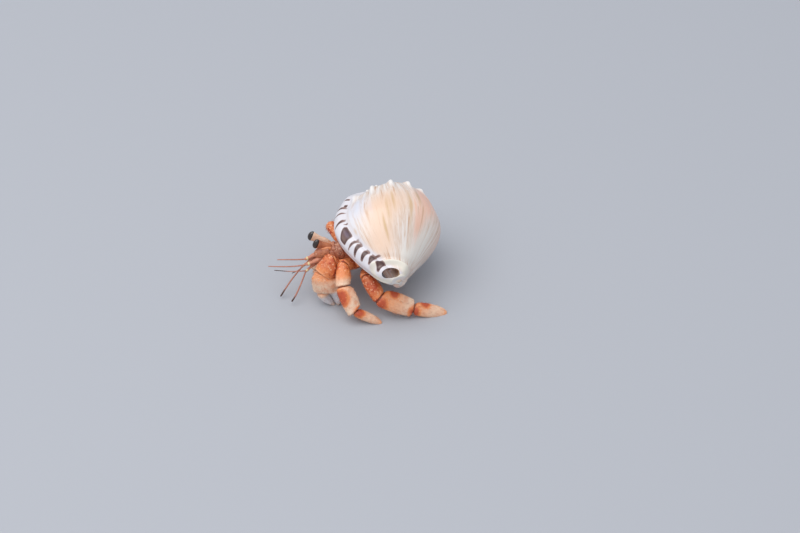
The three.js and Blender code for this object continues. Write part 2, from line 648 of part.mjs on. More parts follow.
// Outer mouthparts, hanging under the head between the claw arms.
const MOUTHPARTS = {
  mouthpart_left: [[-20.6, 0.8, 12.9, 0.9, 0.8], [-22.2, 0.2, 11, 0.8, 0.7], [-22.8, -0.4, 8.4, 0.4, 0.4]],
  mouthpart_right: [[-21, 2.8, 12.9, 0.9, 0.8], [-22.8, 2.3, 11, 0.8, 0.7], [-23.3, 1.8, 8.4, 0.4, 0.4]],
};

for (const [name, stations] of Object.entries(MOUTHPARTS)) {
  addRooted(name, sweep(stations, SIDEWAYS, FEELER_SIDES), paint.flesh);
}

// ---- placing ------------------------------------------------------------------------------------

// The origin is the middle of the crab's floor plan, on the floor.
const extent = new THREE.Box3().setFromObject(crab);
const plan = extent.getCenter(new THREE.Vector3());
crab.position.set(-plan.x, -plan.y, 0);

export default crab;
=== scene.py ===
"""A life-size land hermit crab walking in a bonnet shell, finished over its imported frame."""

import bpy
import numpy as np
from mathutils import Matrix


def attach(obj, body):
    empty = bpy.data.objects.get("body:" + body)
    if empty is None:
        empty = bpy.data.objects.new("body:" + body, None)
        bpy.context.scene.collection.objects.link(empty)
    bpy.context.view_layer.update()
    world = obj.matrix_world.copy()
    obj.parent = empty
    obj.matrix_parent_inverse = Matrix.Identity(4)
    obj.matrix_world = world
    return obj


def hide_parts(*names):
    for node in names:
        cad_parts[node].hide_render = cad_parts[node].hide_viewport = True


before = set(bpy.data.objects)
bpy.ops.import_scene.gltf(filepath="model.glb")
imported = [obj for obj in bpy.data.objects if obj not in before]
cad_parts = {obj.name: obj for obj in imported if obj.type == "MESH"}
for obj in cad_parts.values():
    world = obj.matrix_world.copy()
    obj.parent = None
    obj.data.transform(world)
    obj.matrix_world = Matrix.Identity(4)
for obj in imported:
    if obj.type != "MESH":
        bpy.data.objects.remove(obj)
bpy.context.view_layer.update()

# ---- the shell -----------------------------------------------------------------------------------
# A bonnet snail's shell, lent to the crab: porcelain-like aragonite, grown turn by turn from the apex.
# Knobs ring the shoulder, the outer lip is rolled into a thick band, and the front end has a canal.
# All sizes are millimetres in the animal's own frame, until place() sets them in the model's frame.

SHIFT = np.array([11.614, -6.121, 0.0])  # from the animal's own frame to the model's
MM = 0.001
TAU = 2.0 * np.pi


def place(points):
    """Points in millimetres, shifted to the model's frame and turned to metres."""
    return (np.asarray(points) + SHIFT) * MM


def ease(value, low, high):
    """Rises smoothly from 0 at low to 1 at high: the cubic 3t^2 - 2t^3 of the clamped share t."""
    t = np.clip((value - low) / (high - low), 0.0, 1.0)
    return t * t * (3.0 - 2.0 * t)


def along(values, step):
    """A smooth row of values at a place counted in rows of the table: the Catmull-Rom cubic."""
    values = np.asarray(values, float)
    count = len(values)
    padded = np.vstack([2 * values[0] - values[1], values, 2 * values[-1] - values[-2]])
    step = np.clip(step, 0.0, count - 1.0)
    k = np.minimum(step.astype(int), count - 2)
    f = (step - k)[..., None]
    a, b, c, d = (padded[k + i] for i in range(4))
    cubic = 3 * b - 3 * c + d - a
    return 0.5 * (2 * b + (c - a) * f + (2 * a - 5 * b + 4 * c - d) * f**2 + cubic * f**3)


def unit(vectors):
    """The vectors at length one."""
    return vectors / np.maximum(np.linalg.norm(vectors, axis=-1, keepdims=True), 1e-12)


def make_mesh_object(name, points, faces, marks=None, uv=None, uv_name="Pattern"):
    """A smooth mesh object from points in millimetres; marks and uv hold one entry per face corner."""
    mesh = bpy.data.meshes.new(name)
    mesh.from_pydata(place(points), [], [list(face) for face in faces])
    if uv is not None:
        mesh.uv_layers.new(name=uv_name).data.foreach_set("uv", np.asarray(uv, np.float32).ravel())
    for key, data in (marks or {}).items():
        mesh.attributes.new(key, "FLOAT", "CORNER").data.foreach_set("value", np.asarray(data, np.float32))
    mesh.shade_smooth()
    made = bpy.data.objects.new(name, mesh)
    bpy.context.scene.collection.objects.link(made)
    return made


def combine(body, others, operation):
    """Joins other closed bodies to a body, or cuts them from it, and keeps only the result."""
    for other in others:
        step = body.modifiers.new(other.name, "BOOLEAN")
        step.operation = operation
        step.solver = "MANIFOLD"
        step.object = other
    ready = bpy.context.evaluated_depsgraph_get()
    mesh = bpy.data.meshes.new_from_object(body.evaluated_get(ready))
    body.modifiers.clear()
    body.data = mesh
    mesh.shade_smooth()
    for other in others:
        bpy.data.objects.remove(other)


SHELL_GROWTH = 1.9  # how much each turn outgrows the one before
SHELL_PROFILE = [
    # distance from the axis and place along it at the lip, from the suture to the front end
    [9.4, -8.8], [12.2, -10.1], [15.6, -12.9], [17.86, -16.72], [20.1, -21.5], [21.3, -28.0],
    [19.4, -34.5], [14.9, -40.6], [10.7, -45.3], [7.4, -49.9], [3.2, -52.2],
]
SHOULDER = 3.0  # profile step where the next turn rests on this one
SHOULDER_HEIGHT = -16.72
FRONT_END = 10.0
FRONT_HEIGHT = -52.2
FAR_SIDE = -0.465 * TAU  # growth angle of the side away from the lip
FAR_SWELL = 0.11  # how much fuller the shell is there
FAR_WAIST = 0.55  # and how much its front end draws in
FAR_RISE = 5.5  # and how far that end lifts
PILLAR_LIFT = 1.8  # how far the pillar's foot lifts
PILLAR_SIDE = -0.78 * TAU  # growth angle at which it lifts most
SHELL_KNOBS = 14  # in one turn
KNOB_LEAD = np.pi / 56  # growth angle of the first knob's crest, just past the lip
LIP_DROP = 1.8  # how far the shoulder sinks behind the lip
LIP_BAND = 5.7  # width of the rolled band behind the outer lip
LIP_RISE = 1.7  # height of the band
SHELL_WALL = 1.5  # thickness of the wall behind the lip
PILLAR_COAT = 0.35  # and of the layer laid over the pillar
SPIRE_TURNS = 4
SPIRE_STEPS = np.linspace(0, SHOULDER, 25)[:-1]
BODY_STEPS = np.concatenate([SPIRE_STEPS, np.linspace(SHOULDER, FRONT_END, 111)])
COLUMN_TURNS = np.concatenate([np.linspace(-TAU, -0.25, 296)[:-1], np.linspace(-0.25, 0, 28)])
LIP_ROLL = [
    # inset and lead of the lip's rolled edge, from outside round to the hollow, and share of the teeth
    [-0.35, 0.5, 0.0], [0.1, 0.95, 0.0], [0.75, 1.15, 0.0], [1.45, 1.1, 0.3],
    [2.05, 0.75, 0.8], [2.3, 0.2, 1.0], [2.25, -0.6, 1.0], [1.95, -1.5, 0.6],
]
HOLLOW_START = -0.12  # growth angles where the hollow begins, behind the lip, and ends
HOLLOW_END = -3.5
HOLLOW_TURNS = np.linspace(HOLLOW_START, HOLLOW_END, 30)


def knob_at(step):
    """Height of a shoulder knob and of the fold below it, along the profile: two bell curves."""
    return 1.6 * np.exp(-(((step - 2.1) / 0.7) ** 2)) + 0.4 * np.exp(-(((step - 3.2) / 1.2) ** 2))


def knob_wave(turn):
    """How far up a knob: 1 on its crest, 0 between two knobs."""
    return np.maximum(0.0, np.cos(SHELL_KNOBS * (turn - KNOB_LEAD))) ** 2


def shell_outline(turn, step):
    """Radius and height of the outside at a growth angle and a profile step.

    Above the shoulder each turn is a smaller copy of the last. Below it the profile is stretched so
    that every turn ends at the same front end, round a slimmer pillar. The side away from the lip is
    fuller, with a front end that draws in and lifts.
    """
    growth = SHELL_GROWTH ** (turn / TAU)
    radius, height = np.moveaxis(along(SHELL_PROFILE, step), -1, 0)
    stretch = (FRONT_HEIGHT - SHOULDER_HEIGHT * growth) / (FRONT_HEIGHT - SHOULDER_HEIGHT)
    lower = SHOULDER_HEIGHT * growth + (height - SHOULDER_HEIGHT) * stretch
    pillar = ease(step, SHOULDER, 8.5) * ease(-turn, 0.55 * TAU, TAU)
    suture = (knob_at(SHOULDER) / SHELL_GROWTH - knob_at(0.0)) * np.maximum(0.0, 1.0 - step)
    far = ((1 + np.cos(turn - FAR_SIDE)) / 2) ** 2
    fuller = 1 + far * (FAR_SWELL - FAR_WAIST * ease(step, 4.8, 8.2))
    radius = fuller * growth * (radius * (1 - 0.55 * pillar) + knob_wave(turn) * (knob_at(step) + suture))
    height = np.where(step > SHOULDER, lower, height * growth)
    behind_lip = ease(turn, -1.5, -0.6) * (1 - ease(turn, -0.45, -0.2))
    sunk = behind_lip * ease(step, 0.0, 2.0) * (1 - ease(step, SHOULDER, 6.0))
    lifted = FAR_RISE * far * ease(step, 7.0, FRONT_END)
    lifted = lifted + PILLAR_LIFT * ((1 + np.cos(turn - PILLAR_SIDE)) / 2) ** 2 * ease(step, 8.0, FRONT_END)
    return radius, height + lifted - LIP_DROP * sunk


def shell_point(turn, radius, height):
    """A point in the shell's frame: a circle about the axis, with the front end bent back and out."""
    bend = np.maximum(0.0, -41.0 - height) ** 2
    return np.stack([radius * np.cos(turn) + 0.01 * bend, -radius * np.sin(turn) + 0.03 * bend, height], -1)


CANAL_MIDDLE = np.array([6.45, 6.7, -50.0])  # of the canal's opening
CANAL_ACROSS = np.array([-0.915, 0.379, -0.139]) / 3.1  # over its half width
CANAL_ALONG = np.array([0.167, 0.669, 0.725]) / 2.0  # over its half height


def canal_offset(turn, step):
    """How far a point of the outside lies from the canal's middle, across and along, in half sizes."""
    offset = shell_point(turn, *shell_outline(turn, step)) - CANAL_MIDDLE
    return offset @ CANAL_ACROSS, offset @ CANAL_ALONG


def canal_rim(turn, step):
    """Height of the raised rim round the canal, with a shallow groove outside it: two bell curves."""
    across, ahead = canal_offset(turn, step)
    near = ease(-turn, 0.1, 0.4) * (1 - ease(-turn, 2.0, 2.6)) * ease(step, 6.5, 7.5) * ease(ahead, -0.4, 0.8)
    from_rim = np.hypot(across, ahead) - 1.75
    raised = 1.8 * np.exp(-((from_rim / 0.33) ** 2))
    return near * (raised - 0.5 * np.exp(-(((from_rim - 1.05) / 0.4) ** 2)))


def shell_outside(turn, step):
    """The last turn's outside: the outline, a rounded band behind the lip, and the canal's rim."""
    radius, height = shell_outline(turn, step)
    back = -turn * np.maximum(radius, 3.0) / LIP_BAND
    dome = np.maximum(0.0, 1 - np.abs(2 * back - 0.95) ** 2.6) ** 0.75 * (back < 1)
    rise = LIP_RISE * dome * ease(step, 0.0, 1.2) + canal_rim(turn, step)
    return shell_point(turn, radius + rise, height)


def drawn(points, towards, amount, most):
    """Points moved towards others by an amount, but by no more than a share of the way."""
    gap = towards - points
    length = np.linalg.norm(gap, axis=-1)
    return points + gap / length[:, None] * np.minimum(amount, most * length)[:, None]


def hollow_ring(turn, inset, coat, lead=0.0):
    """A ring of the hollow at one growth angle: up the outer wall's inner face, back along the pillar."""
    reach = FRONT_END - SHOULDER
    wall_step = 0.5 + (FRONT_END - 0.85) * BODY_STEPS / FRONT_END
    pillar_body = BODY_STEPS[BODY_STEPS > SHOULDER][::-1]
    pillar_step = SHOULDER + 0.5 + (pillar_body - SHOULDER) * (reach - 0.85) / reach
    over_wall = shell_point(turn, *shell_outline(turn, wall_step))
    facing_pillar = shell_point(turn, *shell_outline(turn - TAU, SHOULDER + reach * wall_step / FRONT_END))
    on_pillar = shell_point(turn, *shell_outline(turn - TAU, pillar_step))
    facing_wall = shell_point(turn, *shell_outline(turn, (pillar_step - SHOULDER) * FRONT_END / reach))
    forward = np.array([-np.sin(turn), -np.cos(turn), 0.0])
    wall = drawn(over_wall, facing_pillar, inset, 0.42) + lead * forward
    return np.concatenate([wall, drawn(on_pillar, facing_wall, np.full(len(on_pillar), coat), 0.3)])


RUN_STEPS = np.linspace(0, FRONT_END, 401)
RUN_POINTS = along(SHELL_PROFILE, RUN_STEPS)
RUN_LENGTHS = np.append(0, np.cumsum(np.linalg.norm(np.diff(RUN_POINTS, axis=0), axis=1)))


def run_at(step):
    """Millimetres down the profile at a profile step."""
    return np.interp(step, RUN_STEPS, RUN_LENGTHS)


TOOTH_PITCH = 2.2
TOOTH_HEIGHT = 0.55


def lip_teeth(step):
    """How far the teeth inside the lip stand out: the crests of a wave down it, below the shoulder."""
    crests = np.maximum(0, np.cos(TAU * run_at(step) / TOOTH_PITCH))
    return TOOTH_HEIGHT * crests * ease(step, 3.2, 4.5) * (1 - ease(step, 8.2, 9.2))


def inner_ring(turn):
    """A ring of the hollow where the wall has its full thickness."""
    return hollow_ring(turn, np.full(len(BODY_STEPS), SHELL_WALL), PILLAR_COAT)


def shell_surface():
    """Points, faces and each face corner's (growth angle, profile step, depth into the mouth)."""
    columns, bands = len(COLUMN_TURNS), len(SPIRE_STEPS)
    turn = [np.repeat(COLUMN_TURNS[:, None] - TAU * back, bands, 1) for back in range(SPIRE_TURNS, 0, -1)]
    step = [np.repeat(SPIRE_STEPS[None, :], columns, 0)] * SPIRE_TURNS
    turn = np.hstack([*turn, np.repeat(COLUMN_TURNS[:, None], len(BODY_STEPS), 1)])
    step = np.hstack([*step, np.repeat(BODY_STEPS[None, :], columns, 0)])
    rows, body = turn.shape[1], SPIRE_TURNS * bands
    grid = shell_point(turn, *shell_outline(turn, step))
    grid[:, body:] = shell_outside(turn[:, body:], step[:, body:])
    index = np.arange(columns * rows).reshape(columns, rows)
    # A full turn on, the spire's bands meet the next older ones.
    index[-1, : body + 1] = index[0, bands : body + bands + 1]
    points = [grid.reshape(-1, 3)]
    count = columns * rows
    faces, corners = [], []

    def add_faces(rings, *values):
        """Adds faces, with the three values of each corner, or one value for all the corners."""
        sides = rings.shape[-1]
        faces.extend(rings.reshape(-1, sides)[:, ::-1].tolist())
        spread = np.stack([np.broadcast_to(value, rings.shape) for value in values], -1)
        corners.append(spread.reshape(-1, sides, 3)[:, ::-1].reshape(-1, 3))

    # Outside. At a suture the row's corners keep the older turn's own angle and step.
    over_turn, over_step = turn[:, 1:].copy(), step[:, 1:].copy()
    at_suture = over_step == 0
    over_turn[at_suture] -= TAU
    over_step[at_suture] = SHOULDER
    quads = np.stack([index[:-1, :-1], index[:-1, 1:], index[1:, 1:], index[1:, :-1]], -1)
    turns = np.stack([turn[:-1, :-1], over_turn[:-1], over_turn[1:], turn[1:, :-1]], -1)
    steps = np.stack([step[:-1, :-1], over_step[:-1], over_step[1:], step[1:, :-1]], -1)
    add_faces(quads, turns, steps, 0.0)
    # The apex closes in a fan.
    points.append(np.zeros((1, 3)))
    rim = np.concatenate([index[:, 0], index[0, bands - 1 :: -1]])
    fan = np.stack([np.full(len(rim) - 1, count), rim[:-1], rim[1:]], -1)
    add_faces(fan, turn[0, 0], 0.0, 0.0)
    count += 1
    # The front end closes in a low dome over its foot ring.
    foot = grid[:, -1]
    middle = foot.mean(axis=0)
    ring = index[:, -1]
    dome = np.array([0.2, 0.4, -0.5])  # its crown, from the middle of the foot ring
    for share in (0.8, 0.5, 0.2):
        points.append(middle + (foot - middle) * share + np.sqrt(1 - share**2) * dome)
        following = count + np.arange(columns)
        quads = np.stack([ring, following, np.roll(following, -1), np.roll(ring, -1)], -1)
        add_faces(quads, 0.0, FRONT_END, 0.0)
        ring, count = following, count + columns
    points.append(middle[None] + dome)
    fan = np.stack([np.roll(ring, -1), ring, np.full(columns, count)], -1)
    add_faces(fan, 0.0, FRONT_END, 0.0)
    count += 1
    # The mouth, from the lip's edge over its roll and into the hollow. Over the roll the depth is half a
    # millimetre to a ring, and in the hollow it grows with the growth angle.
    ring = np.concatenate([index[-1, body:], index[0, body + bands + 1 :][::-1]])
    ring_step = np.concatenate([BODY_STEPS, BODY_STEPS[BODY_STEPS > SHOULDER][::-1]])
    edge = ease(BODY_STEPS, 0.0, 1.2)
    rolled = []
    for k, (inset, lead, tooth) in enumerate(LIP_ROLL):
        reach = (inset * edge if inset < 0 else inset) + tooth * lip_teeth(BODY_STEPS)
        coat = 0.2 + 0.02 * k  # a little more at each ring, so that no two rings touch on the pillar
        rolled.append(hollow_ring(0.0, reach, coat, lead))
    deeper = [inner_ring(turned) for turned in HOLLOW_TURNS]
    ring_turn = np.concatenate([np.zeros(len(rolled)), HOLLOW_TURNS])
    before = np.stack([np.zeros(len(ring)), ring_step, np.zeros(len(ring))], -1)
    for k, ring_points in enumerate([*rolled, *deeper]):
        points.append(ring_points)
        following = count + np.arange(len(ring))
        depth = (k + 1) * 0.5 if k < len(rolled) else 4.0 - 18 * (ring_turn[k] - HOLLOW_START)
        here = np.stack([np.full(len(ring), ring_turn[k]), ring_step, np.full(len(ring), depth)], -1)
        quads = np.stack([ring, np.roll(ring, -1), np.roll(following, -1), following], -1)
        values = np.stack([before, np.roll(before, -1, 0), np.roll(here, -1, 0), here], 1)
        add_faces(quads, values[..., 0], values[..., 1], values[..., 2])
        ring, before, count = following, here, count + len(ring)
    points.append(ring_points.mean(axis=0, keepdims=True))
    fan = np.stack([ring, np.roll(ring, -1), np.full(len(ring), count)], -1)
    add_faces(fan, HOLLOW_END, 0.0, depth)
    return np.concatenate(points), faces, np.concatenate(corners)


SHELL_ORIGIN = np.array([-3.15, 32.4, 21.0])  # the apex
SHELL_AXIS = unit(np.array([-0.141, 1.0, 0.123]))  # towards the apex
SHELL_ROLL = np.radians(21.5)  # how far the lip is lifted about the axis
SHELL_LEVEL = unit(np.cross([0.0, 0.0, 1.0], SHELL_AXIS))
SHELL_LIP = SHELL_LEVEL * np.cos(SHELL_ROLL) + np.cross(SHELL_AXIS, SHELL_LEVEL) * np.sin(SHELL_ROLL)
SHELL_TURNED = np.stack([SHELL_LIP, np.cross(SHELL_AXIS, SHELL_LIP), SHELL_AXIS])


def set_shell(points):
    """Points of the shell's own frame, set in the animal's."""
    return points @ SHELL_TURNED + SHELL_ORIGIN


def section_axes(run, facing):
    """The across and deep directions of a section square to run, whose deep side looks along facing."""
    across = unit(np.cross(run, facing))
    return across, np.cross(across, run)


def tube_rings(stations, facing, rows, sides):
    """Rings of points round a path: smooth through stations of place and half sizes, square to the way."""
    smooth = along(stations, np.linspace(0, len(stations) - 1, rows))
    centres, half = smooth[:, :3], smooth[:, 3:]
    run = unit(np.gradient(centres, axis=0))
    across, deep = section_axes(run, np.asarray(facing, float))
    angle = np.linspace(0, TAU, sides, endpoint=False)[None, :, None]
    wide = across[:, None] * np.cos(angle) * half[:, 0, None, None]
    return centres[:, None] + wide + deep[:, None] * np.sin(angle) * half[:, 1, None, None]


def closed_rings(rings):
    """Points and faces of a closed body through rings: quads along it and a fan at each end."""
    count, sides = rings.shape[:2]
    index = np.arange(count * sides).reshape(count, sides)
    turned = np.roll(index, -1, axis=1)
    quads = np.stack([index[:-1], index[1:], turned[1:], turned[:-1]], -1).reshape(-1, 4)
    first = np.stack([np.full(sides, count * sides), index[0], turned[0]], -1)
    last = np.stack([np.full(sides, count * sides + 1), turned[-1], index[-1]], -1)
    ends = np.stack([rings[0].mean(axis=0), rings[-1].mean(axis=0)])
    return np.concatenate([rings.reshape(-1, 3), ends]), [*quads.tolist(), *first.tolist(), *last.tolist()]


def make_body(name, rings, marks):
    """A closed body through rings; marks hold a value for each ring point, or one for them all."""
    points, faces = closed_rings(rings)
    corner = np.concatenate([np.asarray(face) for face in faces])
    at_corners = {}
    for key, value in marks.items():
        grid = np.broadcast_to(np.asarray(value, float), rings.shape[:2])
        ends = [grid[0].mean(), grid[-1].mean()]
        at_corners[key] = np.concatenate([grid.ravel(), ends])[corner]
    return make_mesh_object(name, points, faces, at_corners)


LIP_BARS = [
    # millimetres down the profile, half thickness, nearest and furthest distance behind the lip, slant
    [10.3, 0.5, 3.6, 5.0, 0.0], [14.8, 0.8, 4.8, 5.4, 0.0], [15.8, 0.45, 1.8, 4.8, -0.3],
    [19.0, 0.3, 2.2, 5.0, -0.1], [23.6, 0.45, 2.3, 5.2, 0.35], [24.9, 0.25, 5.3, 6.1, 0.0],
    [29.4, 2.4, 1.9, 5.6, 0.7], [33.6, 0.38, 2.1, 5.6, 0.31], [36.0, 0.65, 1.8, 5.7, 0.63],
    [39.4, 0.75, 2.3, 5.7, 0.62], [42.3, 0.8, 2.8, 5.8, 0.78], [41.4, 0.22, 5.2, 6.8, 0.0],
    [46.8, 0.95, 2.6, 5.9, 0.9],
]
SHELL_PATCHES = {
    # growth angle, profile step and how far each stretches, of the soft washes of colour; the bluish wash
    # near the lip is a painted reflection of the sky
    "peach": [(-0.75, 7.0, 0.4, 0.9), (-0.9, 5.6, 0.35, 1.4), (-1.3, 4.6, 0.6, 1.2)],
    "tan": [
        (-1.09, 5.3, 0.05, 1.2), (-1.22, 4.6, 0.05, 1.1), (-0.98, 6.2, 0.05, 0.8), (-1.55, 5.0, 0.06, 1.5),
        (-0.37, 5.9, 0.05, 0.3), (-1.78, 4.3, 0.07, 1.0),
    ],
    "rosy": [(-1.95, 4.5, 0.28, 1.2), (-2.3, 3.4, 0.5, 1.2), (-1.75, 5.9, 0.15, 0.9), (-2.9, 5.0, 0.5, 1.5)],
    # painted reflection: a bluish tint of the sky just behind the lip
    "sky_reflection": [(-0.5, 4.2, 0.3, 1.4), (-0.32, 6.4, 0.12, 0.9)],
    "grey": [(-2.1, 6.9, 0.5, 1.3), (-1.5, 7.6, 0.3, 0.5)],
}


def shell_marks(turn, step, depth):
    """Each corner's markings: millimetres behind the lip and from a bar's edge, a painted highlight on the
    knobs' crests, and the washes.
    """
    behind = np.where(depth > 0, -depth, -turn * np.maximum(shell_outline(turn, step)[0], 3.0))
    bar = np.full(turn.shape, 9.0)
    for at, half, near, far, slant in LIP_BARS:
        taper = half * (0.65 + 0.4 * ease(behind, near, far))
        off_line = np.abs(run_at(step) - at + slant * (behind - 4.0)) / taper
        off_ends = np.abs(2 * behind - near - far) / (far - near)
        bar = np.minimum(bar, half * ((off_line**5 + off_ends**5) ** 0.2 - 1))
    from_canal = np.hypot(*canal_offset(turn, step))
    marks = {
        "behind": behind, "bar": bar, "depth": depth, "canal": np.zeros(turn.shape),
        # painted highlight: a paler cream on the crest of each knob
        "crest_highlight": knob_wave(turn) * np.exp(-(((step - 2.3) / 1.3) ** 2)),
        "rim": np.exp(-(((from_canal - 1.6) / 0.4) ** 2)) * (turn > -2.6) * (step > 6),
        "purple": np.exp(-(((behind - 5.0) / 1.1) ** 2) - ((run_at(step) - 29.5) / 2.5) ** 2),
    }
    for key, washes in SHELL_PATCHES.items():
        marks[key] = np.zeros(turn.shape)
        for at_turn, at_step, wide, high in washes:
            marks[key] += np.exp(-(((turn - at_turn) / wide) ** 2) - ((step - at_step) / high) ** 2)
    return marks


CANAL_ROUTE = [
    # place and half sizes of the siphonal canal, from the mouth to the upturned front end
    [9.2, -2.0, -35.0, 2.9, 2.9], [6.9, 0.2, -42.5, 2.9, 2.9], [6.2, 3.4, -47.4, 2.8, 2.2],
    [6.4, 6.5, -49.9, 3.1, 1.8], [6.8, 9.6, -52.6, 3.9, 2.1],
]

shell_points, shell_faces, shell_corners = shell_surface()
shell = make_mesh_object("bonnet_shell", set_shell(shell_points), shell_faces,
                         shell_marks(*shell_corners.T), shell_corners[:, :2])
canal_rings = tube_rings(CANAL_ROUTE, [0.3, 0.8, 0.5], 60, 56)
canal = make_body("canal", set_shell(canal_rings), {"canal": 1.0, "depth": 9.0, "bar": 9.0, "behind": -9.0})
combine(shell, [canal], "DIFFERENCE")
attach(shell, "root")
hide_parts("shell")

# The finish is weathered porcelain-like shell, creamy white and washed with peach and tan along its
# growth lines. The lip's band is white with dark brown bars. A paler cream on the knobs' crests is a
# painted highlight, and a bluish wash just behind the lip is a painted reflection of the sky. It gives
# the eye a soft shine with sharp small lights.


def linear(code):
    """An sRGB hex colour as linear red, green, blue and alpha."""
    values = [int(code[i : i + 2], 16) / 255 for i in (1, 3, 5)]
    return (*[v / 12.92 if v <= 0.04045 else ((v + 0.055) / 1.055) ** 2.4 for v in values], 1.0)


def add_node(tree, kind, inputs=None, links=None, **settings):
    """Adds a node to a material, with its settings, its fixed inputs and links into other inputs."""
    node = tree.nodes.new(kind)
    for name, value in settings.items():
        setattr(node, name, value)
    for name, value in (inputs or {}).items():
        node.inputs[name].default_value = value
    for name, socket in (links or {}).items():
        tree.links.new(socket, node.inputs[name])
    return node


def start_material(name, piece):
    """A new material on a piece, with the tree and the shader to fill in."""
    material = bpy.data.materials.new(name)
    material.use_nodes = True
    piece.data.materials.clear()
    piece.data.materials.append(material)
    return material.node_tree, material.node_tree.nodes["Principled BSDF"]


def lay_markings(tree, colour, layers, noise):
    """Lays colours over one another. Each layer fades in between two values of an attribute, and its
    edge wanders with a noise by a share of the attribute's own units."""
    for key, code, low, high, ragged in layers:
        mark = add_node(tree, "ShaderNodeAttribute", attribute_name=key)
        links = {0: noise.outputs["Fac"], 2: mark.outputs["Fac"]}
        wandered = add_node(tree, "ShaderNodeMath", {1: ragged}, links, operation="MULTIPLY_ADD")
        edges = {"From Min": low + ragged / 2, "From Max": high + ragged / 2}
        links = {"Value": wandered.outputs[0]}
        share = add_node(tree, "ShaderNodeMapRange", edges, links, interpolation_type="SMOOTHSTEP")
        links = {"Fac": share.outputs["Result"], "Color1": colour.outputs["Color"]}
        colour = add_node(tree, "ShaderNodeMixRGB", {"Color2": linear(code)}, links)
    return colour


SHELL_RADIUS = 18.0  # millimetres of arc in one radian of the pattern's first coordinate
SHELL_STEP = 5.2  # millimetres in one profile step, its second

tree, shader = start_material("weathered_sea_shell", shell)
pattern = add_node(tree, "ShaderNodeUVMap", uv_map="Pattern")
solid = add_node(tree, "ShaderNodeTexCoord")
streak_scale = {"Scale": (SHELL_RADIUS / 1.4, SHELL_STEP / 16.0, 1.0)}  # streaks 1.4 mm wide, 16 mm long
streak_place = add_node(tree, "ShaderNodeMapping", streak_scale, {"Vector": pattern.outputs["UV"]})
streaks = add_node(tree, "ShaderNodeTexNoise", {"Scale": 1.0, "Detail": 4.0, "Roughness": 0.6},
                   {"Vector": streak_place.outputs["Vector"]})
line_scale = {"Scale": (SHELL_RADIUS / 0.35, SHELL_STEP / 9.0, 1.0)}  # growth lines 0.35 mm apart
line_place = add_node(tree, "ShaderNodeMapping", line_scale, {"Vector": pattern.outputs["UV"]})
growth_lines = add_node(tree, "ShaderNodeTexNoise", {"Scale": 1.0, "Detail": 2.0},
                        {"Vector": line_place.outputs["Vector"]})
cloud = add_node(tree, "ShaderNodeTexNoise", {"Scale": 1000 / 4.0, "Detail": 5.0, "Roughness": 0.6},
                 {"Vector": solid.outputs["Object"]})  # clouds 4 mm across
ground = add_node(tree, "ShaderNodeValToRGB", links={"Fac": streaks.outputs["Fac"]})
ground.color_ramp.elements[0].position = 0.36
ground.color_ramp.elements[0].color = linear("#D0AA8C")
ground.color_ramp.elements[1].position = 0.62
ground.color_ramp.elements[1].color = linear("#F0E8E0")
for position, code in ((0.45, "#EADACD"), (0.49, "#DABFA9"), (0.54, "#EBE0D8")):
    ground.color_ramp.elements.new(position).color = linear(code)
washed = lay_markings(tree, ground, [
    ("grey", "#F0E9DE", 0.0, 1.2, 1.2),
    ("peach", "#EBC9AE", 0.2, 1.6, 2.2),
    # a painted bluish reflection of the sky, laid as a wash
    ("sky_reflection", "#D9DCE8", 0.0, 1.5, 1.4),
    ("rosy", "#F2BFA5", 0.2, 1.4, 2.2),
    ("tan", "#D2AE82", 0.3, 1.3, 1.8),
    # painted highlight on the knobs' crests
    ("crest_highlight", "#EFE9E3", 0.1, 0.9, 0.6),
], streaks)
barred = lay_markings(tree, washed, [
    ("behind", "#E0DBDE", 8.0, 6.0, 1.6),
    ("rim", "#EEE6D6", 0.2, 1.0, 0.5),
    ("depth", "#F3DCC6", 2.0, 12.0, 1.0),
    ("depth", "#B98A66", 12.0, 40.0, 2.0),
    ("canal", "#A38468", 0.5, 0.6, 0.0),
    ("bar", "#8A6A60", 0.3, 0.05, 0.4),
    ("bar", "#4A2E2C", 0.05, -0.2, 0.4),
], cloud)
# Only the big bar is wide enough to pale inside, to brown and purple.
bar_edge = add_node(tree, "ShaderNodeAttribute", attribute_name="bar")
inside = add_node(tree, "ShaderNodeMapRange", {"From Min": -0.2, "From Max": -1.2},
                  {"Value": bar_edge.outputs["Fac"]})
purple = add_node(tree, "ShaderNodeAttribute", attribute_name="purple")
blotch = add_node(tree, "ShaderNodeMixRGB", {"Color1": linear("#7E645A"), "Color2": linear("#4B2C4A")},
                  {"Fac": purple.outputs["Fac"]})
barred = add_node(tree, "ShaderNodeMixRGB", None,
                  {"Fac": inside.outputs["Result"], "Color1": barred.outputs["Color"],
                   "Color2": blotch.outputs["Color"]})
tree.links.new(barred.outputs["Color"], shader.inputs["Base Color"])
gloss = add_node(tree, "ShaderNodeMapRange", {"To Min": 0.22, "To Max": 0.5}, {"Value": cloud.outputs["Fac"]})
tree.links.new(gloss.outputs["Result"], shader.inputs["Roughness"])
shader.inputs["Coat Weight"].default_value = 0.25
shader.inputs["Coat Roughness"].default_value = 0.12
relief = add_node(tree, "ShaderNodeMath", {1: 0.5},
                  {0: growth_lines.outputs["Fac"], 2: streaks.outputs["Fac"]}, operation="MULTIPLY_ADD")
bump = add_node(tree, "ShaderNodeBump", {"Strength": 0.35, "Distance": 0.25 * MM},
                {"Height": relief.outputs["Value"]})
tree.links.new(bump.outputs["Normal"], shader.inputs["Normal"])

# ---- the crab's skin -----------------------------------------------------------------------------
# One hard cuticle over trunk, limbs, claws and eyestalks. Each leg piece swells between its joints and
# ends in a raised rim, and the next piece starts from a narrow neck inside it.

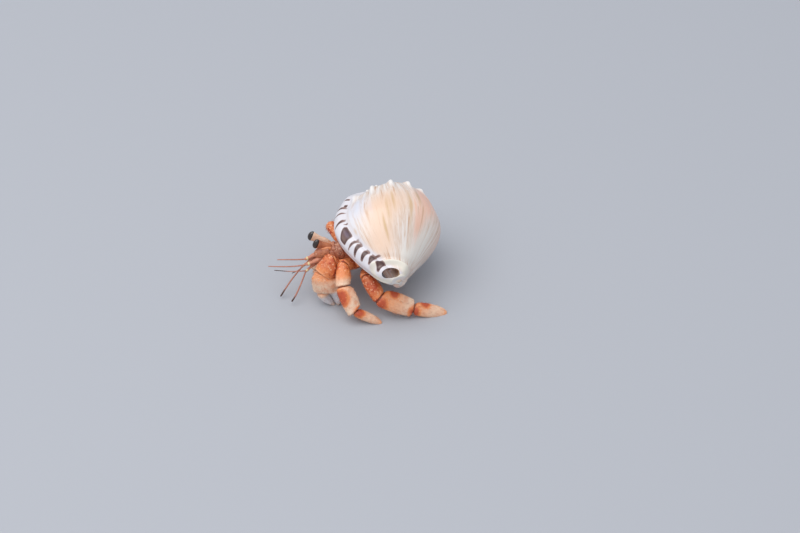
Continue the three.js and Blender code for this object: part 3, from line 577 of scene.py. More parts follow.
LEFT_FACING = np.array([0.1, -0.8, 0.6])
RIGHT_FACING = np.array([-0.1, 0.8, 0.6])
WORLD_UP = np.array([0.0, 0.0, 1.0])
SIDEWAYS = np.array([-0.34, 0.94, 0.0])  # to the crab's right
TRUNK_UP = unit(np.array([-0.5, -0.18, 0.85]))
LIMB_SIDES = 56
PIECE_ROWS = 38
OUTLINE = {
    # place along each piece, and half width and half depth there, as shares of its largest
    "coxa": [[0, 0.8, 0.8], [0.5, 1, 1], [1, 0.84, 0.84]],
    "merus": [[0, 0.64, 0.7], [0.22, 0.92, 0.92], [0.6, 1, 1], [0.86, 0.92, 0.92], [1, 0.66, 0.7]],
    "carpus": [[0, 0.6, 0.64], [0.3, 0.87, 0.9], [0.62, 1, 1], [0.88, 0.88, 0.86], [1, 0.64, 0.66]],
    "propodus": [[0, 0.6, 0.7], [0.2, 0.9, 0.95], [0.5, 1, 1], [0.8, 0.88, 0.86], [1, 0.6, 0.66]],
    "dactyl": [
        [0, 0.66, 0.7], [0.14, 0.9, 0.9], [0.4, 0.95, 0.9],
        [0.68, 0.84, 0.78], [0.88, 0.6, 0.55], [1, 0.25, 0.25],
    ],
}
TAPER = 0.6  # share of that narrowing towards the joints which all but the last piece have
GRANULE = 1.15  # spacing of the cuticle's low granules, in millimetres


def granules(length, around):
    """Low rounded bumps in staggered rows: the positive part of two crossed waves, squared."""
    wave = np.sin(TAU * length / GRANULE) * np.sin(TAU * around / GRANULE + np.sin(length * 1.7))
    return np.maximum(0, wave) ** 2


def joint_necks(place, first, last):
    """The narrow neck at each joint and the raised rim beside it, as a factor on the half sizes."""
    near = 0.26 * np.exp(-((place / 0.05) ** 2)) * (not first)
    far = 0.30 * np.exp(-(((1 - place) / 0.022) ** 2)) * (not last)
    rim = 0.07 * np.exp(-(((place - 0.93) / 0.035) ** 2)) * (not last)
    return 1 - near - far + rim


def limb_rings(joints, pieces, facing):
    """Rings down a whole limb, and for each ring its piece's number and the place along that piece.

    Each piece is an ellipse carried from joint to joint, its ends cut on the plane that halves the bend.
    The angle round the limb is carried over each joint without a twist.
    """
    joints = np.asarray(joints, float)
    runs = unit(np.diff(joints, axis=0))
    angle = np.linspace(0, TAU, LIMB_SIDES, endpoint=False)
    place_rows = 0.5 - 0.5 * np.cos(np.pi * np.linspace(0.012, 0.988, PIECE_ROWS))
    rings, places, zero = [], [], None
    for number, (part, width, depth) in enumerate(pieces):
        run = runs[number]
        cut_from = unit(runs[number - 1] + run) if number else run
        cut_to = unit(run + runs[number + 1]) if number + 1 < len(runs) else run
        upper = part in ("coxa", "merus")
        across, deep = section_axes(run, WORLD_UP if upper else facing)
        turned = 0.0 if zero is None else np.arctan2(zero @ deep, zero @ across)
        zero = across * np.cos(turned) + deep * np.sin(turned)
        outline = np.asarray(OUTLINE[part], float)
        share = along(outline[:, 1:], np.interp(place_rows, outline[:, 0], np.arange(len(outline))))
        if part != "dactyl":
            share = 1 - TAPER * (1 - share)
        share = share * joint_necks(place_rows, number == 0, part == "dactyl")[:, None]
        length = np.linalg.norm(joints[number + 1] - joints[number])
        around = angle[None, :] * (width + depth) / 2
        bumps = 0.10 * granules(place_rows[:, None] * length, around) * (share[:, :1] > 0.8)
        wide = (width * share[:, 0, None] + bumps) * np.cos(angle + turned)
        thick = (depth * share[:, 1, None] + bumps) * np.sin(angle + turned)
        offset = wide[..., None] * across + thick[..., None] * deep
        near_start = np.clip(1 - place_rows / 0.5, 0, 1)[:, None]
        near_end = np.clip(1 - (1 - place_rows) / 0.5, 0, 1)[:, None]
        normal = run + (cut_from - run) * near_start
        normal = normal + (cut_to - normal) * near_end
        slide = -np.einsum("rsk,rk->rs", offset, normal) / (normal @ run)[:, None]
        centre = joints[number] + (joints[number + 1] - joints[number]) * place_rows[:, None]
        ring = centre[:, None] + offset + slide[..., None] * run
        ring[..., 2] = np.maximum(ring[..., 2], 0.0)
        rings.append(ring)
        places.append(np.stack([np.full(PIECE_ROWS, float(number)), place_rows], -1))
    return np.concatenate(rings), np.concatenate(places)


LEFT_CLAW = {"elbow": [-20.4, -4.6, 17.0], "wrist": [-23.5, -6.8, 12.9], "tip": [-18.9, -7.9, -0.3]}
RIGHT_CLAW = {"elbow": [-23.2, 9.0, 14.4], "wrist": [-25.2, 5.6, 10.6], "tip": [-23.8, 1.9, 2.4]}
LIMBS = {
    # joints from inside the trunk to the tip, and [part, half width, half depth] between them
    "leg2_left": (
        LEFT_FACING,
        [[-14.4, 4.2, 12.8], [-11.9, 0.4, 12.3], [-16.2, -6.6, 17.2],
         [-16.4, -12.4, 12.2], [-12.3, -17.4, 4.9], [-3.0, -17.9, 0.0]],
        [["coxa", 1.8, 1.7], ["merus", 2.4, 2.1], ["carpus", 2.7, 2.2],
         ["propodus", 3.1, 2.2], ["dactyl", 1.8, 1.5]]),
    "leg3_left": (
        LEFT_FACING,
        [[-11.0, 6.4, 12.8], [-7.7, 0.2, 9.8], [-8.2, -9.5, 14.0],
         [-3.6, -14.0, 8.6], [8.2, -14.2, 3.6], [20.0, -12.6, 0.1]],
        [["coxa", 1.7, 1.6], ["merus", 2.4, 2.0], ["carpus", 2.7, 2.1],
         ["propodus", 3.6, 1.9], ["dactyl", 2.6, 1.4]]),
    "leg2_right": (
        RIGHT_FACING,
        [[-16.6, 5.4, 12.6], [-15.4, 10.0, 11.6], [-20.8, 15.6, 16.8],
         [-20.3, 20.8, 11.4], [-17.6, 25.6, 4.6], [-11.0, 29.0, 0.0]],
        [["coxa", 1.8, 1.7], ["merus", 2.3, 2.0], ["carpus", 2.4, 2.0],
         ["propodus", 2.6, 1.9], ["dactyl", 1.7, 1.4]]),
    "leg3_right": (
        RIGHT_FACING,
        [[-12.2, 7.2, 12.8], [-11.3, 11.8, 10.8], [-12.6, 18.8, 12.2],
         [-9.6, 24.0, 7.8], [-1.6, 29.2, 3.3], [8.0, 31.0, 0.1]],
        [["coxa", 1.7, 1.6], ["merus", 2.1, 1.8], ["carpus", 2.2, 1.8],
         ["propodus", 2.5, 1.7], ["dactyl", 1.7, 1.3]]),
    "claw_left": (
        LEFT_FACING,
        [[-18.4, 2.6, 12.6], [-17.6, -1.8, 11.9], LEFT_CLAW["elbow"], LEFT_CLAW["wrist"]],
        [["coxa", 1.8, 1.7], ["merus", 2.3, 2.2], ["carpus", 3.7, 3.1]]),
    "claw_right": (
        RIGHT_FACING,
        [[-19.4, 4.4, 12.8], [-19.3, 7.8, 11.8], RIGHT_CLAW["elbow"], RIGHT_CLAW["wrist"]],
        [["coxa", 1.5, 1.4], ["merus", 1.8, 1.6], ["carpus", 2.2, 2.0]]),
}
TINTS = ("orange", "red", "grey")
LEG_TINTS = {
    # [orange, red, cream's grey] at four even places along each piece, from the coxa to the dactyl
    "leg2": [
        [0.8, 0.1, 0], [0.9, 0.1, 0], [1, 0.1, 0], [1, 0.1, 0],
        [1, 0.2, 0], [1, 0.3, 0], [1, 0.4, 0], [1, 0.3, 0],
        [1, 0.5, 0], [0.95, 0.4, 0], [0.4, 0.1, 0], [0.15, 0, 0],
        [0.3, 0.1, 0], [0.2, 0.1, 0], [0.1, 0, 0], [0, 0, 0],
        [0.5, 0.3, 0], [0.3, 0.1, 0], [0.25, 0, 0], [0.45, 0, 0],
    ],
    "leg3": [
        [0.8, 0.1, 0], [0.9, 0.1, 0], [1, 0.1, 0], [1, 0.1, 0],
        [1, 0.2, 0], [1, 0.2, 0], [1, 0.3, 0], [1, 0.3, 0],
        [1, 0.5, 0], [1, 0.65, 0], [1, 0.6, 0], [0.9, 0.3, 0],
        [0.85, 0.3, 0], [0.5, 0.1, 0], [0.33, 0, 0], [0.1, 0, 0],
        [0.6, 0.3, 0], [0.36, 0, 0], [0.22, 0, 0], [0.36, 0, 0],
    ],
    "claw": [
        [0.8, 0.1, 0], [0.9, 0.1, 0], [1, 0.2, 0], [1, 0.3, 0],
        [1, 0.3, 0], [1, 0.4, 0], [1, 0.5, 0], [1, 0.4, 0],
        [1, 0.6, 0], [1, 0.6, 0], [0.9, 0.4, 0], [0.45, 0.1, 0],
    ],
}
BLOTCHES = {
    # piece number, place along it, side of the leg it lies on, and radius in millimetres
    "leg2_left": [(3, 0.36, (-0.8, -0.5, 0.5), 3.1), (4, 0.12, (0.2, -0.5, 0.8), 2.0)],
    "leg2_right": [(3, 0.36, (-0.8, 0.5, 0.5), 2.4), (4, 0.12, (0.2, 0.5, 0.8), 1.7)],
    "leg3_left": [
        (3, 0.1, (-0.4, -0.7, 0.1), 3.2), (3, 0.3, (0.0, -0.1, 1.0), 2.0),
        (4, 0.02, (0.0, -0.8, 0.0), 2.2), (4, 0.3, (0.0, 0.2, 1.0), 1.9),
    ],
    "leg3_right": [
        (3, 0.1, (-0.4, 0.7, 0.1), 2.6), (4, 0.02, (0.0, 0.8, 0.0), 1.8), (4, 0.3, (0.0, -0.2, 1.0), 1.5),
    ],
}


def blotch_marks(name, rings, places):
    """Red blotches: a flat-topped bell over the distance from a point on one side of a leg piece.

    The point is the furthest to that side on the ring nearest to the stated piece and place along it.
    """
    red = np.zeros(rings.shape[:2])
    for number, place, side, radius in BLOTCHES.get(name, []):
        ring = rings[np.abs(places[:, 0] - number + places[:, 1] * 0.1 - place * 0.1).argmin()]
        middle = ring[((ring - ring.mean(axis=0)) @ np.array(side)).argmax()]
        red = np.maximum(red, np.exp(-((np.linalg.norm(rings - middle, axis=-1) / radius) ** 3)))
    return red


def limb_marks(name, rings, places):
    """Each ring's markings: shares of orange, red and grey, and 1 in the soft skin of a joint."""
    table = LEG_TINTS[name.split("_")[0]]
    step = places[:, 0] * 4 + places[:, 1] * 3
    tints = np.clip(along(table, step), 0, 1)
    ends = np.minimum(places[:, 1], (1 - places[:, 1]) * 2)
    groove = 1 - ease(ends, 0.015, 0.06)
    groove[places[:, 0] == 4] *= places[places[:, 0] == 4, 1] < 0.5
    red = np.maximum(tints[:, 1:2], blotch_marks(name, rings, places))
    return {"orange": tints[:, :1], "red": red, "grey": tints[:, 2:], "groove": groove[:, None], "brown": 0.0}


limb_shapes = {}
flesh = []
for name, (facing, joints, pieces) in LIMBS.items():
    rings, places = limb_rings(joints, pieces, facing)
    marks = limb_marks(name, rings, places)
    limb_shapes[name] = (rings, places, marks)
    flesh.append(make_body(name, rings, marks))

# The palm tapers into the fixed finger; the movable finger is a piece of its own beside it.
PALM = [
    # distance down from the wrist, shift sideways, half width and half depth, on the large claw
    [-0.5, 0, 2.3, 2.0], [0.3, 0, 2.7, 2.2], [1.6, -0.2, 3.8, 2.7], [3.8, -0.1, 4.7, 2.95],
    [5.6, 0, 4.6, 2.75], [6.5, 1.5, 3.0, 2.45], [7.4, 1.95, 2.4, 2.3], [9.0, 2.0, 2.1, 2.0],
    [11.5, 1.5, 1.5, 1.5], [13.0, 0.8, 0.6, 0.6],
]
PALM_LENGTH = 13.0
FINGER = [
    [6.3, -2.3, 1.5, 1.9], [6.9, -2.45, 1.95, 2.2], [8.6, -2.5, 1.7, 1.9], [10.9, -1.8, 1.2, 1.4],
    [12.6, -0.9, 0.5, 0.55],
]
LARGE_CLAW_LENGTH = 13.2  # from wrist to tip; the small claw's table sizes shrink in proportion
CLAW_TINTS = {
    # distance down from the wrist, and orange, red and grey there
    "palm": [
        [-0.5, 0.7, 0.2, 0], [1.0, 0.45, 0.1, 0], [3.0, 0.15, 0, 0], [5.5, 0.1, 0, 0.2],
        [7.0, 0.05, 0, 0.7], [9.0, 0, 0, 0.9], [11.0, 0, 0, 0.8], [13.0, 0.1, 0, 0.4],
    ],
    "finger": [
        [6.3, 0.3, 0.1, 0.1], [7.5, 0.1, 0, 0.5], [9.0, 0, 0, 0.9], [10.5, 0, 0, 0.8], [12.6, 0.1, 0, 0.4],
    ],
}


def claw_rings(claw, table, rows):
    """Rings down a palm or a finger: ellipses square to the claw, whose first rows lean to the arm."""
    wrist, tip = np.array(claw["wrist"]), np.array(claw["tip"])
    run = unit(tip - wrist)
    wrist_cut = unit(unit(wrist - np.array(claw["elbow"])) + run)
    scale = np.linalg.norm(tip - wrist) / LARGE_CLAW_LENGTH
    across = unit(np.array([1.0, 0, 0]) - run[0] * run)
    deep = np.cross(across, run)
    smooth = along(table, np.linspace(0, len(table) - 1, rows))
    down = smooth[:, 0]
    half = smooth[:, 2:] * scale
    angle = np.linspace(0, TAU, 72, endpoint=False)
    centre = wrist + run * (down * scale)[:, None] + across * (smooth[:, 1] * scale)[:, None]
    around = angle[None, :] * half.mean(axis=1).max()
    bumps = 0.13 * granules(down[:, None] * scale, around) * ease(half[:, :1], 0.8, 2.0)
    flat = 1 + 0.06 * np.cos(4 * angle)  # slightly squared, so that its face lies flatter
    wide = (half[:, :1] + bumps) * flat * np.cos(angle)
    thick = (half[:, 1:] + bumps) * flat * np.sin(angle)
    offset = wide[..., None] * across + thick[..., None] * deep
    normal = run + (wrist_cut - run) * np.clip(1 - (down - 0.3) / 3.0, 0, 1)[:, None]
    slide = -np.einsum("rsk,rk->rs", offset, normal) / (normal @ run)[:, None]
    rings = centre[:, None] + offset + slide[..., None] * run
    rings[..., 2] = np.maximum(rings[..., 2], 0.0)
    return rings, down


def claw_marks(part, down):
    """Each ring's markings down a claw, from its table of tints."""
    table = np.asarray(CLAW_TINTS[part])
    tints = {key: np.interp(down, table[:, 0], table[:, k])[:, None] for k, key in enumerate(TINTS, 1)}
    return {**tints, "groove": 0.0, "brown": 0.0}


claw_fingers = []
for name, claw in (("claw_left", LEFT_CLAW), ("claw_right", RIGHT_CLAW)):
    for part, table, rows in (("palm", PALM, 110), ("finger", FINGER, 60)):
        rings, down = claw_rings(claw, table, rows)
        marks = claw_marks(part, down)
        places = np.stack([np.full(rows, 3.0), down / PALM_LENGTH], -1)  # piece 3, after the carpus
        limb_shapes[f"{name}_{part}"] = (rings, places, marks)
        if part == "palm":
            flesh.append(make_body(f"{name}_palm", rings, marks))
        else:
            claw_fingers.append(make_body(f"{name}_finger_cuticle", rings, marks))

# Trunk: the shield over the head, a groove across it, and the softer part that turns up into the shell.
TRUNK = [
    # place, half width and half height
    [-26.0, 0.4, 15.4, 0.8, 0.8], [-24.9, 0.7, 15.6, 1.5, 1.7], [-23.0, 1.3, 15.6, 2.3, 2.7],
    [-20.9, 2.0, 15.2, 3.1, 3.7], [-18.9, 2.7, 14.9, 3.8, 4.4], [-17.35, 3.25, 14.9, 4.2, 4.8],
    [-16.9, 3.4, 14.9, 4.2, 4.8], [-15.3, 4.0, 15.05, 4.6, 5.2], [-14.0, 4.5, 16.4, 4.7, 4.7],
    [-13.8, 4.9, 18.4, 4.6, 3.4], [-14.4, 5.2, 20.2, 4.4, 2.6],
]
TRUNK_ROWS = 110
TRUNK_SIDES = 96
TRUNK_LENGTH = 17.0
trunk_rings = tube_rings(TRUNK, TRUNK_UP, TRUNK_ROWS, TRUNK_SIDES)
trunk_out = unit(trunk_rings - trunk_rings.mean(axis=1, keepdims=True))
trunk_place = np.linspace(0, 1, TRUNK_ROWS)[:, None]
trunk_angle = np.linspace(0, TAU, TRUNK_SIDES, endpoint=False)[None, :]
shield_groove = np.exp(-(((trunk_place - 0.47 - 0.05 * np.cos(trunk_angle)) / 0.018) ** 2))
flank_groove = np.exp(-(((trunk_place - 0.30 - 0.04 * np.cos(2 * trunk_angle)) / 0.012) ** 2))
trunk_bumps = 0.10 * granules(trunk_place * TRUNK_LENGTH, trunk_angle * 4.0)
trunk_relief = trunk_bumps - 0.35 * shield_groove - 0.2 * flank_groove
trunk_marks = {
    "orange": 0.55, "red": 0.15, "grey": 0.0, "groove": 0.8 * np.maximum(shield_groove, flank_groove),
    "brown": 1.0,
}
skin = make_body("crab_skin", trunk_rings + trunk_out * trunk_relief[..., None], trunk_marks)

# Rear legs folded at the shell's mouth, the mouthparts under the head, the stalks of the eyes with a
# scale at the foot of each, the face between the feelers and the shield's short beak.
SMALL_PARTS = {
    # stations of place and half sizes, the way the deep side faces, and orange, red, grey, groove, brown
    "leg4_left": (
        [[-12.9, 2.6, 17.2, 1.1, 1.0], [-12.2, -1.2, 18.2, 1.2, 1.1], [-11.6, -4.0, 17.4, 1.0, 0.9],
         [-11.0, -6.0, 15.8, 0.5, 0.5]], WORLD_UP, (0.8, 0.2, 0, 0, 0.5)),
    "leg4_right": (
        [[-14.4, 7.2, 17.2, 1.1, 1.0], [-15.4, 11.0, 18.4, 1.2, 1.1], [-14.8, 13.4, 17.4, 1.0, 0.9],
         [-13.6, 15.0, 15.8, 0.5, 0.5]], WORLD_UP, (0.8, 0.2, 0, 0, 0.5)),
    "mouthpart_left": (
        [[-20.6, 0.8, 12.9, 0.9, 0.8], [-21.6, 0.4, 12.0, 1.0, 0.8], [-22.2, 0.2, 11, 0.7, 0.6],
         [-22.6, 0.0, 9.9, 0.8, 0.65], [-22.8, -0.4, 8.4, 0.35, 0.35]], SIDEWAYS, (0.6, 0.3, 0, 0.2, 0.6)),
    "mouthpart_right": (
        [[-21, 2.8, 12.9, 0.9, 0.8], [-22.2, 2.5, 12.0, 1.0, 0.8], [-22.8, 2.3, 11, 0.7, 0.6],
         [-23.1, 2.1, 9.9, 0.8, 0.65], [-23.3, 1.8, 8.4, 0.35, 0.35]], SIDEWAYS, (0.6, 0.3, 0, 0.2, 0.6)),
    "eyestalk_left": (
        [[-20.6, 1.5, 17.6, 1.2, 0.8], [-22.2, 1.7, 18.9, 1.35, 0.85], [-24.0, 1.3, 19.8, 1.35, 0.8],
         [-25.7, 0.95, 20.55, 1.75, 0.98]], SIDEWAYS, (0.35, 0.3, 0, 0, 0.85)),
    "eyestalk_right": (
        [[-21.1, 3.7, 17.6, 1.2, 0.8], [-22.8, 3.9, 19.0, 1.45, 0.85], [-25.1, 4.3, 20.0, 1.4, 0.8],
         [-27.5, 4.75, 20.95, 1.85, 0.98]], SIDEWAYS, (0.15, 0.0, 0.0, 0, 0.55)),
    "scale_left": (
        [[-21.0, 0.9, 18.2, 0.5, 0.9], [-22.6, 0.5, 18.6, 0.45, 0.8], [-24.2, 0.2, 18.8, 0.2, 0.25]],
        TRUNK_UP, (0.5, 0.2, 0, 0, 0.6)),
    "scale_right": (
        [[-21.6, 4.3, 18.2, 0.5, 0.9], [-23.4, 4.9, 18.7, 0.45, 0.8], [-25.0, 5.2, 18.9, 0.2, 0.25]],
        TRUNK_UP, (0.5, 0.2, 0, 0, 0.6)),
    "face": (
        [[-21.6, 1.5, 16.8, 2.3, 2.6], [-24.0, 1.0, 16.5, 2.0, 2.4], [-25.6, 0.6, 16.2, 1.5, 1.9],
         [-26.6, 0.4, 15.9, 0.8, 1.0]], TRUNK_UP, (0.5, 0.2, 0, 0, 0.9)),
    "rostrum": (
        [[-19.5, 2.5, 18.6, 2.2, 0.6], [-21.6, 2.3, 18.2, 1.6, 0.6], [-23.4, 2.4, 17.6, 0.5, 0.35]],
        TRUNK_UP, (0.5, 0.15, 0, 0, 0.9)),
}
for name, (stations, facing, tints) in SMALL_PARTS.items():
    rings = tube_rings(stations, facing, 36, 36)
    flesh.append(make_body(name, rings, dict(zip([*TINTS, "groove", "brown"], tints))))
combine(skin, flesh, "UNION")
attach(skin, "root")
LEGS = ("leg2_left", "leg3_left", "leg2_right", "leg3_right")
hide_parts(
    "head_shield", "thorax", "leg4_left", "leg4_right", "eyestalk_left", "eyestalk_right",
    "mouthpart_left", "mouthpart_right",
    *[f"{leg}_{part}" for leg in LEGS for part in OUTLINE],
    *[f"claw_{side}_{part}" for side in ("left", "right") for part in ("coxa", "merus", "carpus", "palm")],
)
for finger, node in zip(claw_fingers, ("claw_left_finger", "claw_right_finger")):
    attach(finger, "root")
    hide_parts(node)

# The finish is chitin hardened with lime: cream, mottled orange and red, with low granules. It gives the
# eye a soft, broken shine.


def paint_cuticle(piece, name):
    """Cream cuticle under the piece's own markings, with a mottle, speckles and a fine granular relief."""
    tree, shader = start_material(name, piece)
    solid = add_node(tree, "ShaderNodeTexCoord")
    mottle = add_node(tree, "ShaderNodeTexNoise", {"Scale": 1000 / 2.2, "Detail": 5.0, "Roughness": 0.65},
                      {"Vector": solid.outputs["Object"]})  # mottling 2.2 mm across
    speckle = add_node(tree, "ShaderNodeTexNoise", {"Scale": 1000 / 0.7, "Detail": 2.0},
                       {"Vector": solid.outputs["Object"]})  # speckles 0.7 mm across
    grain = add_node(tree, "ShaderNodeTexVoronoi", {"Scale": 1000 / 0.6},
                     {"Vector": solid.outputs["Object"]})  # granules 0.6 mm across
    cream = add_node(tree, "ShaderNodeValToRGB", links={"Fac": mottle.outputs["Fac"]})
    cream.color_ramp.elements[0].position = 0.35
    cream.color_ramp.elements[0].color = linear("#E6A884")
    cream.color_ramp.elements[1].position = 0.6
    cream.color_ramp.elements[1].color = linear("#F0D4B8")
    painted = lay_markings(tree, cream, [
        ("grey", "#D9D3D3", 0.3, 0.8, 0.4),
        ("orange", "#F2A878", 0.15, 0.55, 0.6),
        ("orange", "#DD7642", 0.45, 1.0, 1.0),
        ("red", "#E88A50", 0.0, 0.4, 0.5),
        ("red", "#C2522C", 0.25, 0.85, 0.9),
        ("orange", "#B8451F", 1.08, 1.25, 2.2),
        ("brown", "#A9654B", 0.4, 1.1, 0.9),
        ("brown", "#74402C", 1.05, 1.25, 1.7),
    ], mottle)
    painted = lay_markings(tree, painted, [
        ("orange", "#F6B890", 1.1, 1.35, 1.9),
        ("brown", "#D8A183", 1.12, 1.35, 1.9),
        ("groove", "#8E4426", 0.2, 0.9, 0.2),
    ], speckle)
    tree.links.new(painted.outputs["Color"], shader.inputs["Base Color"])
    gloss = add_node(tree, "ShaderNodeMapRange", {"To Min": 0.3, "To Max": 0.58},
                     {"Value": speckle.outputs["Fac"]})
    tree.links.new(gloss.outputs["Result"], shader.inputs["Roughness"])
    shader.inputs["IOR"].default_value = 1.53
    relief = add_node(tree, "ShaderNodeMath", {1: -0.8},
                      {0: grain.outputs["Distance"], 2: mottle.outputs["Fac"]}, operation="MULTIPLY_ADD")
    bump = add_node(tree, "ShaderNodeBump", {"Strength": 0.5, "Distance": 0.22 * MM},
                    {"Height": relief.outputs["Value"]})
    tree.links.new(bump.outputs["Normal"], shader.inputs["Normal"])


paint_cuticle(skin, "mottled_cuticle")
for finger in claw_fingers:
    paint_cuticle(finger, "claw_finger_cuticle")

# ---- bristles, grains and nails ------------------------------------------------------------------
# Stiff hairs stand in the cuticle, thickest on the last leg pieces, between blunt pale grains. Each is
# a small solid body rooted inside the skin. Every walking leg ends in a nail of orange-brown horn.

LEG_DENSITY = ([0.0, 0.3, 0.6, 1.0, 1.7], [0.0, 0.2, 0.8, 0.7, 0.2])
DENSITY = {
    # how thickly the bristles and the grains stand on each leg piece, from the coxa to the dactyl
    "leg2": LEG_DENSITY,
    "leg3": LEG_DENSITY,
    "claw": ([0.0, 0.4, 0.8, 0.7, 0.7], [0.0, 0.4, 1.2, 1.5, 1.0]),
}
BRISTLE = [[-0.15, 1.0], [0.45, 0.75], [0.8, 0.45]]  # place along it and thickness there, as shares
GRAIN = [[-0.6, 1.0], [0.2, 0.95], [0.75, 0.6]]
BARE_HEIGHT = 1.25  # none stands lower than this above the floor, so that no tip dips below it
PATCH = 0.003  # breadth of one bristle's or grain's patch in the OFBake layout
POINT, NORMAL, WAY, LAYOUT, TINT = slice(0, 3), slice(3, 6), slice(6, 9), slice(9, 11), slice(11, 14)
WEIGHT = 14  # these are the columns of a root's row


def limb_roots(count, kind, rng):
    """Seeded places on the limbs, drawn by the area and the density round each point of the rings."""
    found = []
    for number, (name, (rings, places, marks)) in enumerate(limb_shapes.items()):
        down = np.gradient(rings, axis=0)
        square = np.cross(down, np.roll(rings, -1, 1) - np.roll(rings, 1, 1))
        outward = np.sign(np.sum(square * (rings - rings.mean(axis=1, keepdims=True)), -1, keepdims=True))
        thickness = np.asarray(DENSITY[name.split("_")[0]][kind])[places[:, 0].astype(int)]
        weight = np.linalg.norm(square, axis=-1) * thickness[:, None] * (rings[..., 2] > BARE_HEIGHT)
        rows, sides = weight.shape
        v, u = np.meshgrid(np.linspace(0, 1, rows), np.arange(sides) / sides, indexing="ij")
        layout = np.stack([(number + u) / len(limb_shapes), v], -1)
        tints = np.stack([np.broadcast_to(marks[key], weight.shape) for key in TINTS], -1)
        rows_of_values = [rings, unit(square * outward), unit(down), layout, tints, weight[..., None]]
        found.append(np.concatenate(rows_of_values, -1).reshape(-1, WEIGHT + 1))
    found = np.concatenate(found)
    chance = found[:, WEIGHT] / found[:, WEIGHT].sum()
    return found[rng.choice(len(found), count, replace=False, p=chance)]


def stud_rings(roots, profile, sides, length, radius, lean, bend, rng):
    """Rings and tips of small round bodies on their roots, leaning and bending down the limb."""
    point, normal, way = roots[:, POINT], roots[:, NORMAL], roots[:, WAY]
    aim = unit(normal + lean * way + 0.35 * lean * rng.standard_normal(normal.shape))
    side = unit(np.cross(aim, way + 0.01))
    other = np.cross(side, aim)
    place, thick = np.moveaxis(np.array([*profile, [1.0, 0.0]]), -1, 0)
    reach = length[:, None] * place
    centre = point[:, None] + aim[:, None] * reach[..., None]
    centre = centre + way[:, None] * (bend * reach * np.maximum(place, 0))[..., None]
    angle = np.linspace(0, TAU, sides, endpoint=False)
    round_way = side[:, None] * np.cos(angle)[:, None] + other[:, None] * np.sin(angle)[:, None]
    rings = centre[:, :-1, None] + round_way[:, None] * (radius[:, None] * thick[:-1])[..., None, None]
    return rings, centre[:, -1]


def make_studs(name, roots, rings, tips, brown):
    """One mesh of all the small bodies, with their roots' marks and a patch each in the OFBake layout."""
    count, levels, sides = rings.shape[:3]
    each = levels * sides + 1
    points = np.concatenate([rings.reshape(count, -1, 3), tips[:, None]], 1).reshape(-1, 3)
    index = np.arange(levels * sides).reshape(levels, sides)
    turned = np.roll(index, -1, axis=1)
    quads = np.stack([index[:-1], index[1:], turned[1:], turned[:-1]], -1).reshape(-1, 4)
    caps = np.stack([turned[-1], index[-1], np.full(sides, each - 1)], -1)
    shape = [*quads.tolist(), *caps.tolist(), index[0].tolist()]
    faces = [[corner + start for corner in face] for start in range(0, count * each, each) for face in shape]
    corner = np.concatenate([np.asarray(face) for face in shape])
    around = np.append(np.tile(np.arange(sides) / sides, levels), 0.5)
    height = np.append(np.repeat(np.arange(levels) / levels, sides), 1.0)
    patch = (np.stack([around, height], -1)[corner] * PATCH)[None]
    layout = np.clip(roots[:, None, LAYOUT], 0, 1 - PATCH) + patch
    marks = {key: np.repeat(tint, len(corner)) for key, tint in zip(TINTS, roots[:, TINT].T)}
    marks["brown"] = np.full(count * len(corner), brown)
    marks["groove"] = np.zeros(count * len(corner))
    made = make_mesh_object(name, points, faces, marks, layout.reshape(-1, 2), "OFBake")
    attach(made, "root")
    return made


rng = np.random.default_rng(7)
bristle_roots = limb_roots(1600, 0, rng)
bristle_length = rng.uniform(0.45, 1.15, len(bristle_roots))
bristle_radius = rng.uniform(0.035, 0.06, len(bristle_roots))
bristle_shapes = stud_rings(bristle_roots, BRISTLE, 3, bristle_length, bristle_radius, 0.9, 0.35, rng)
bristles = make_studs("crab_bristles", bristle_roots, *bristle_shapes, 0.7)
paint_cuticle(bristles, "bristle_cuticle")
grain_roots = limb_roots(900, 1, rng)
grain_roots[:, 11:13] *= 0.55  # less orange and red than the cuticle round them
grain_length = rng.uniform(0.1, 0.2, len(grain_roots))
grain_radius = rng.uniform(0.12, 0.24, len(grain_roots))
grain_shapes = stud_rings(grain_roots, GRAIN, 7, grain_length, grain_radius, 0.25, 0.0, rng)
grains = make_studs("crab_grains", grain_roots, *grain_shapes, 0.0)
paint_cuticle(grains, "grain_cuticle")

NAIL_START = 0.9  # place along the last leg piece
NAIL_THICKNESS = 1.03  # over the cuticle's own half sizes
for name in LEGS:
    rings, places, marks = limb_shapes[name]
    last = rings[(places[:, 0] == 4) & (places[:, 1] > NAIL_START)]
    middle = last.mean(axis=1, keepdims=True)
    capped = middle + (last - middle) * NAIL_THICKNESS
    capped[..., 2] = np.maximum(capped[..., 2], 0.0)
    horn = {"orange": 0.5, "red": 0.0, "grey": 0.0, "groove": 0.0, "brown": 0.5}
    nail = make_body(f"{name}_nail", capped, horn)
    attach(nail, "root")
    paint_cuticle(nail, "nail_horn")

# ---- the abdomen ---------------------------------------------------------------------------------
# The soft coiled hind body. It leaves the thorax by a waist and fills most of the shell's hollow. Its
# thin pinkish skin gives the eye a dull, even surface with fine wrinkles.

ABDOMEN_TURNS = [HOLLOW_START, -0.35, -0.7, -1.1, -1.55, -2.0, -2.5]  # growth angles of its rings
ABDOMEN_FILL = [0.6, 0.66, 0.68, 0.65, 0.56, 0.44, 0.3]  # and their shares of the hollow's breadth
ABDOMEN_ROWS = 60
WAIST = np.array([-14.6, 5.2, 20.0])
WAIST_LONG = 4.0  # half sizes along the shell's axis and square to it
WAIST_SHORT = 2.4


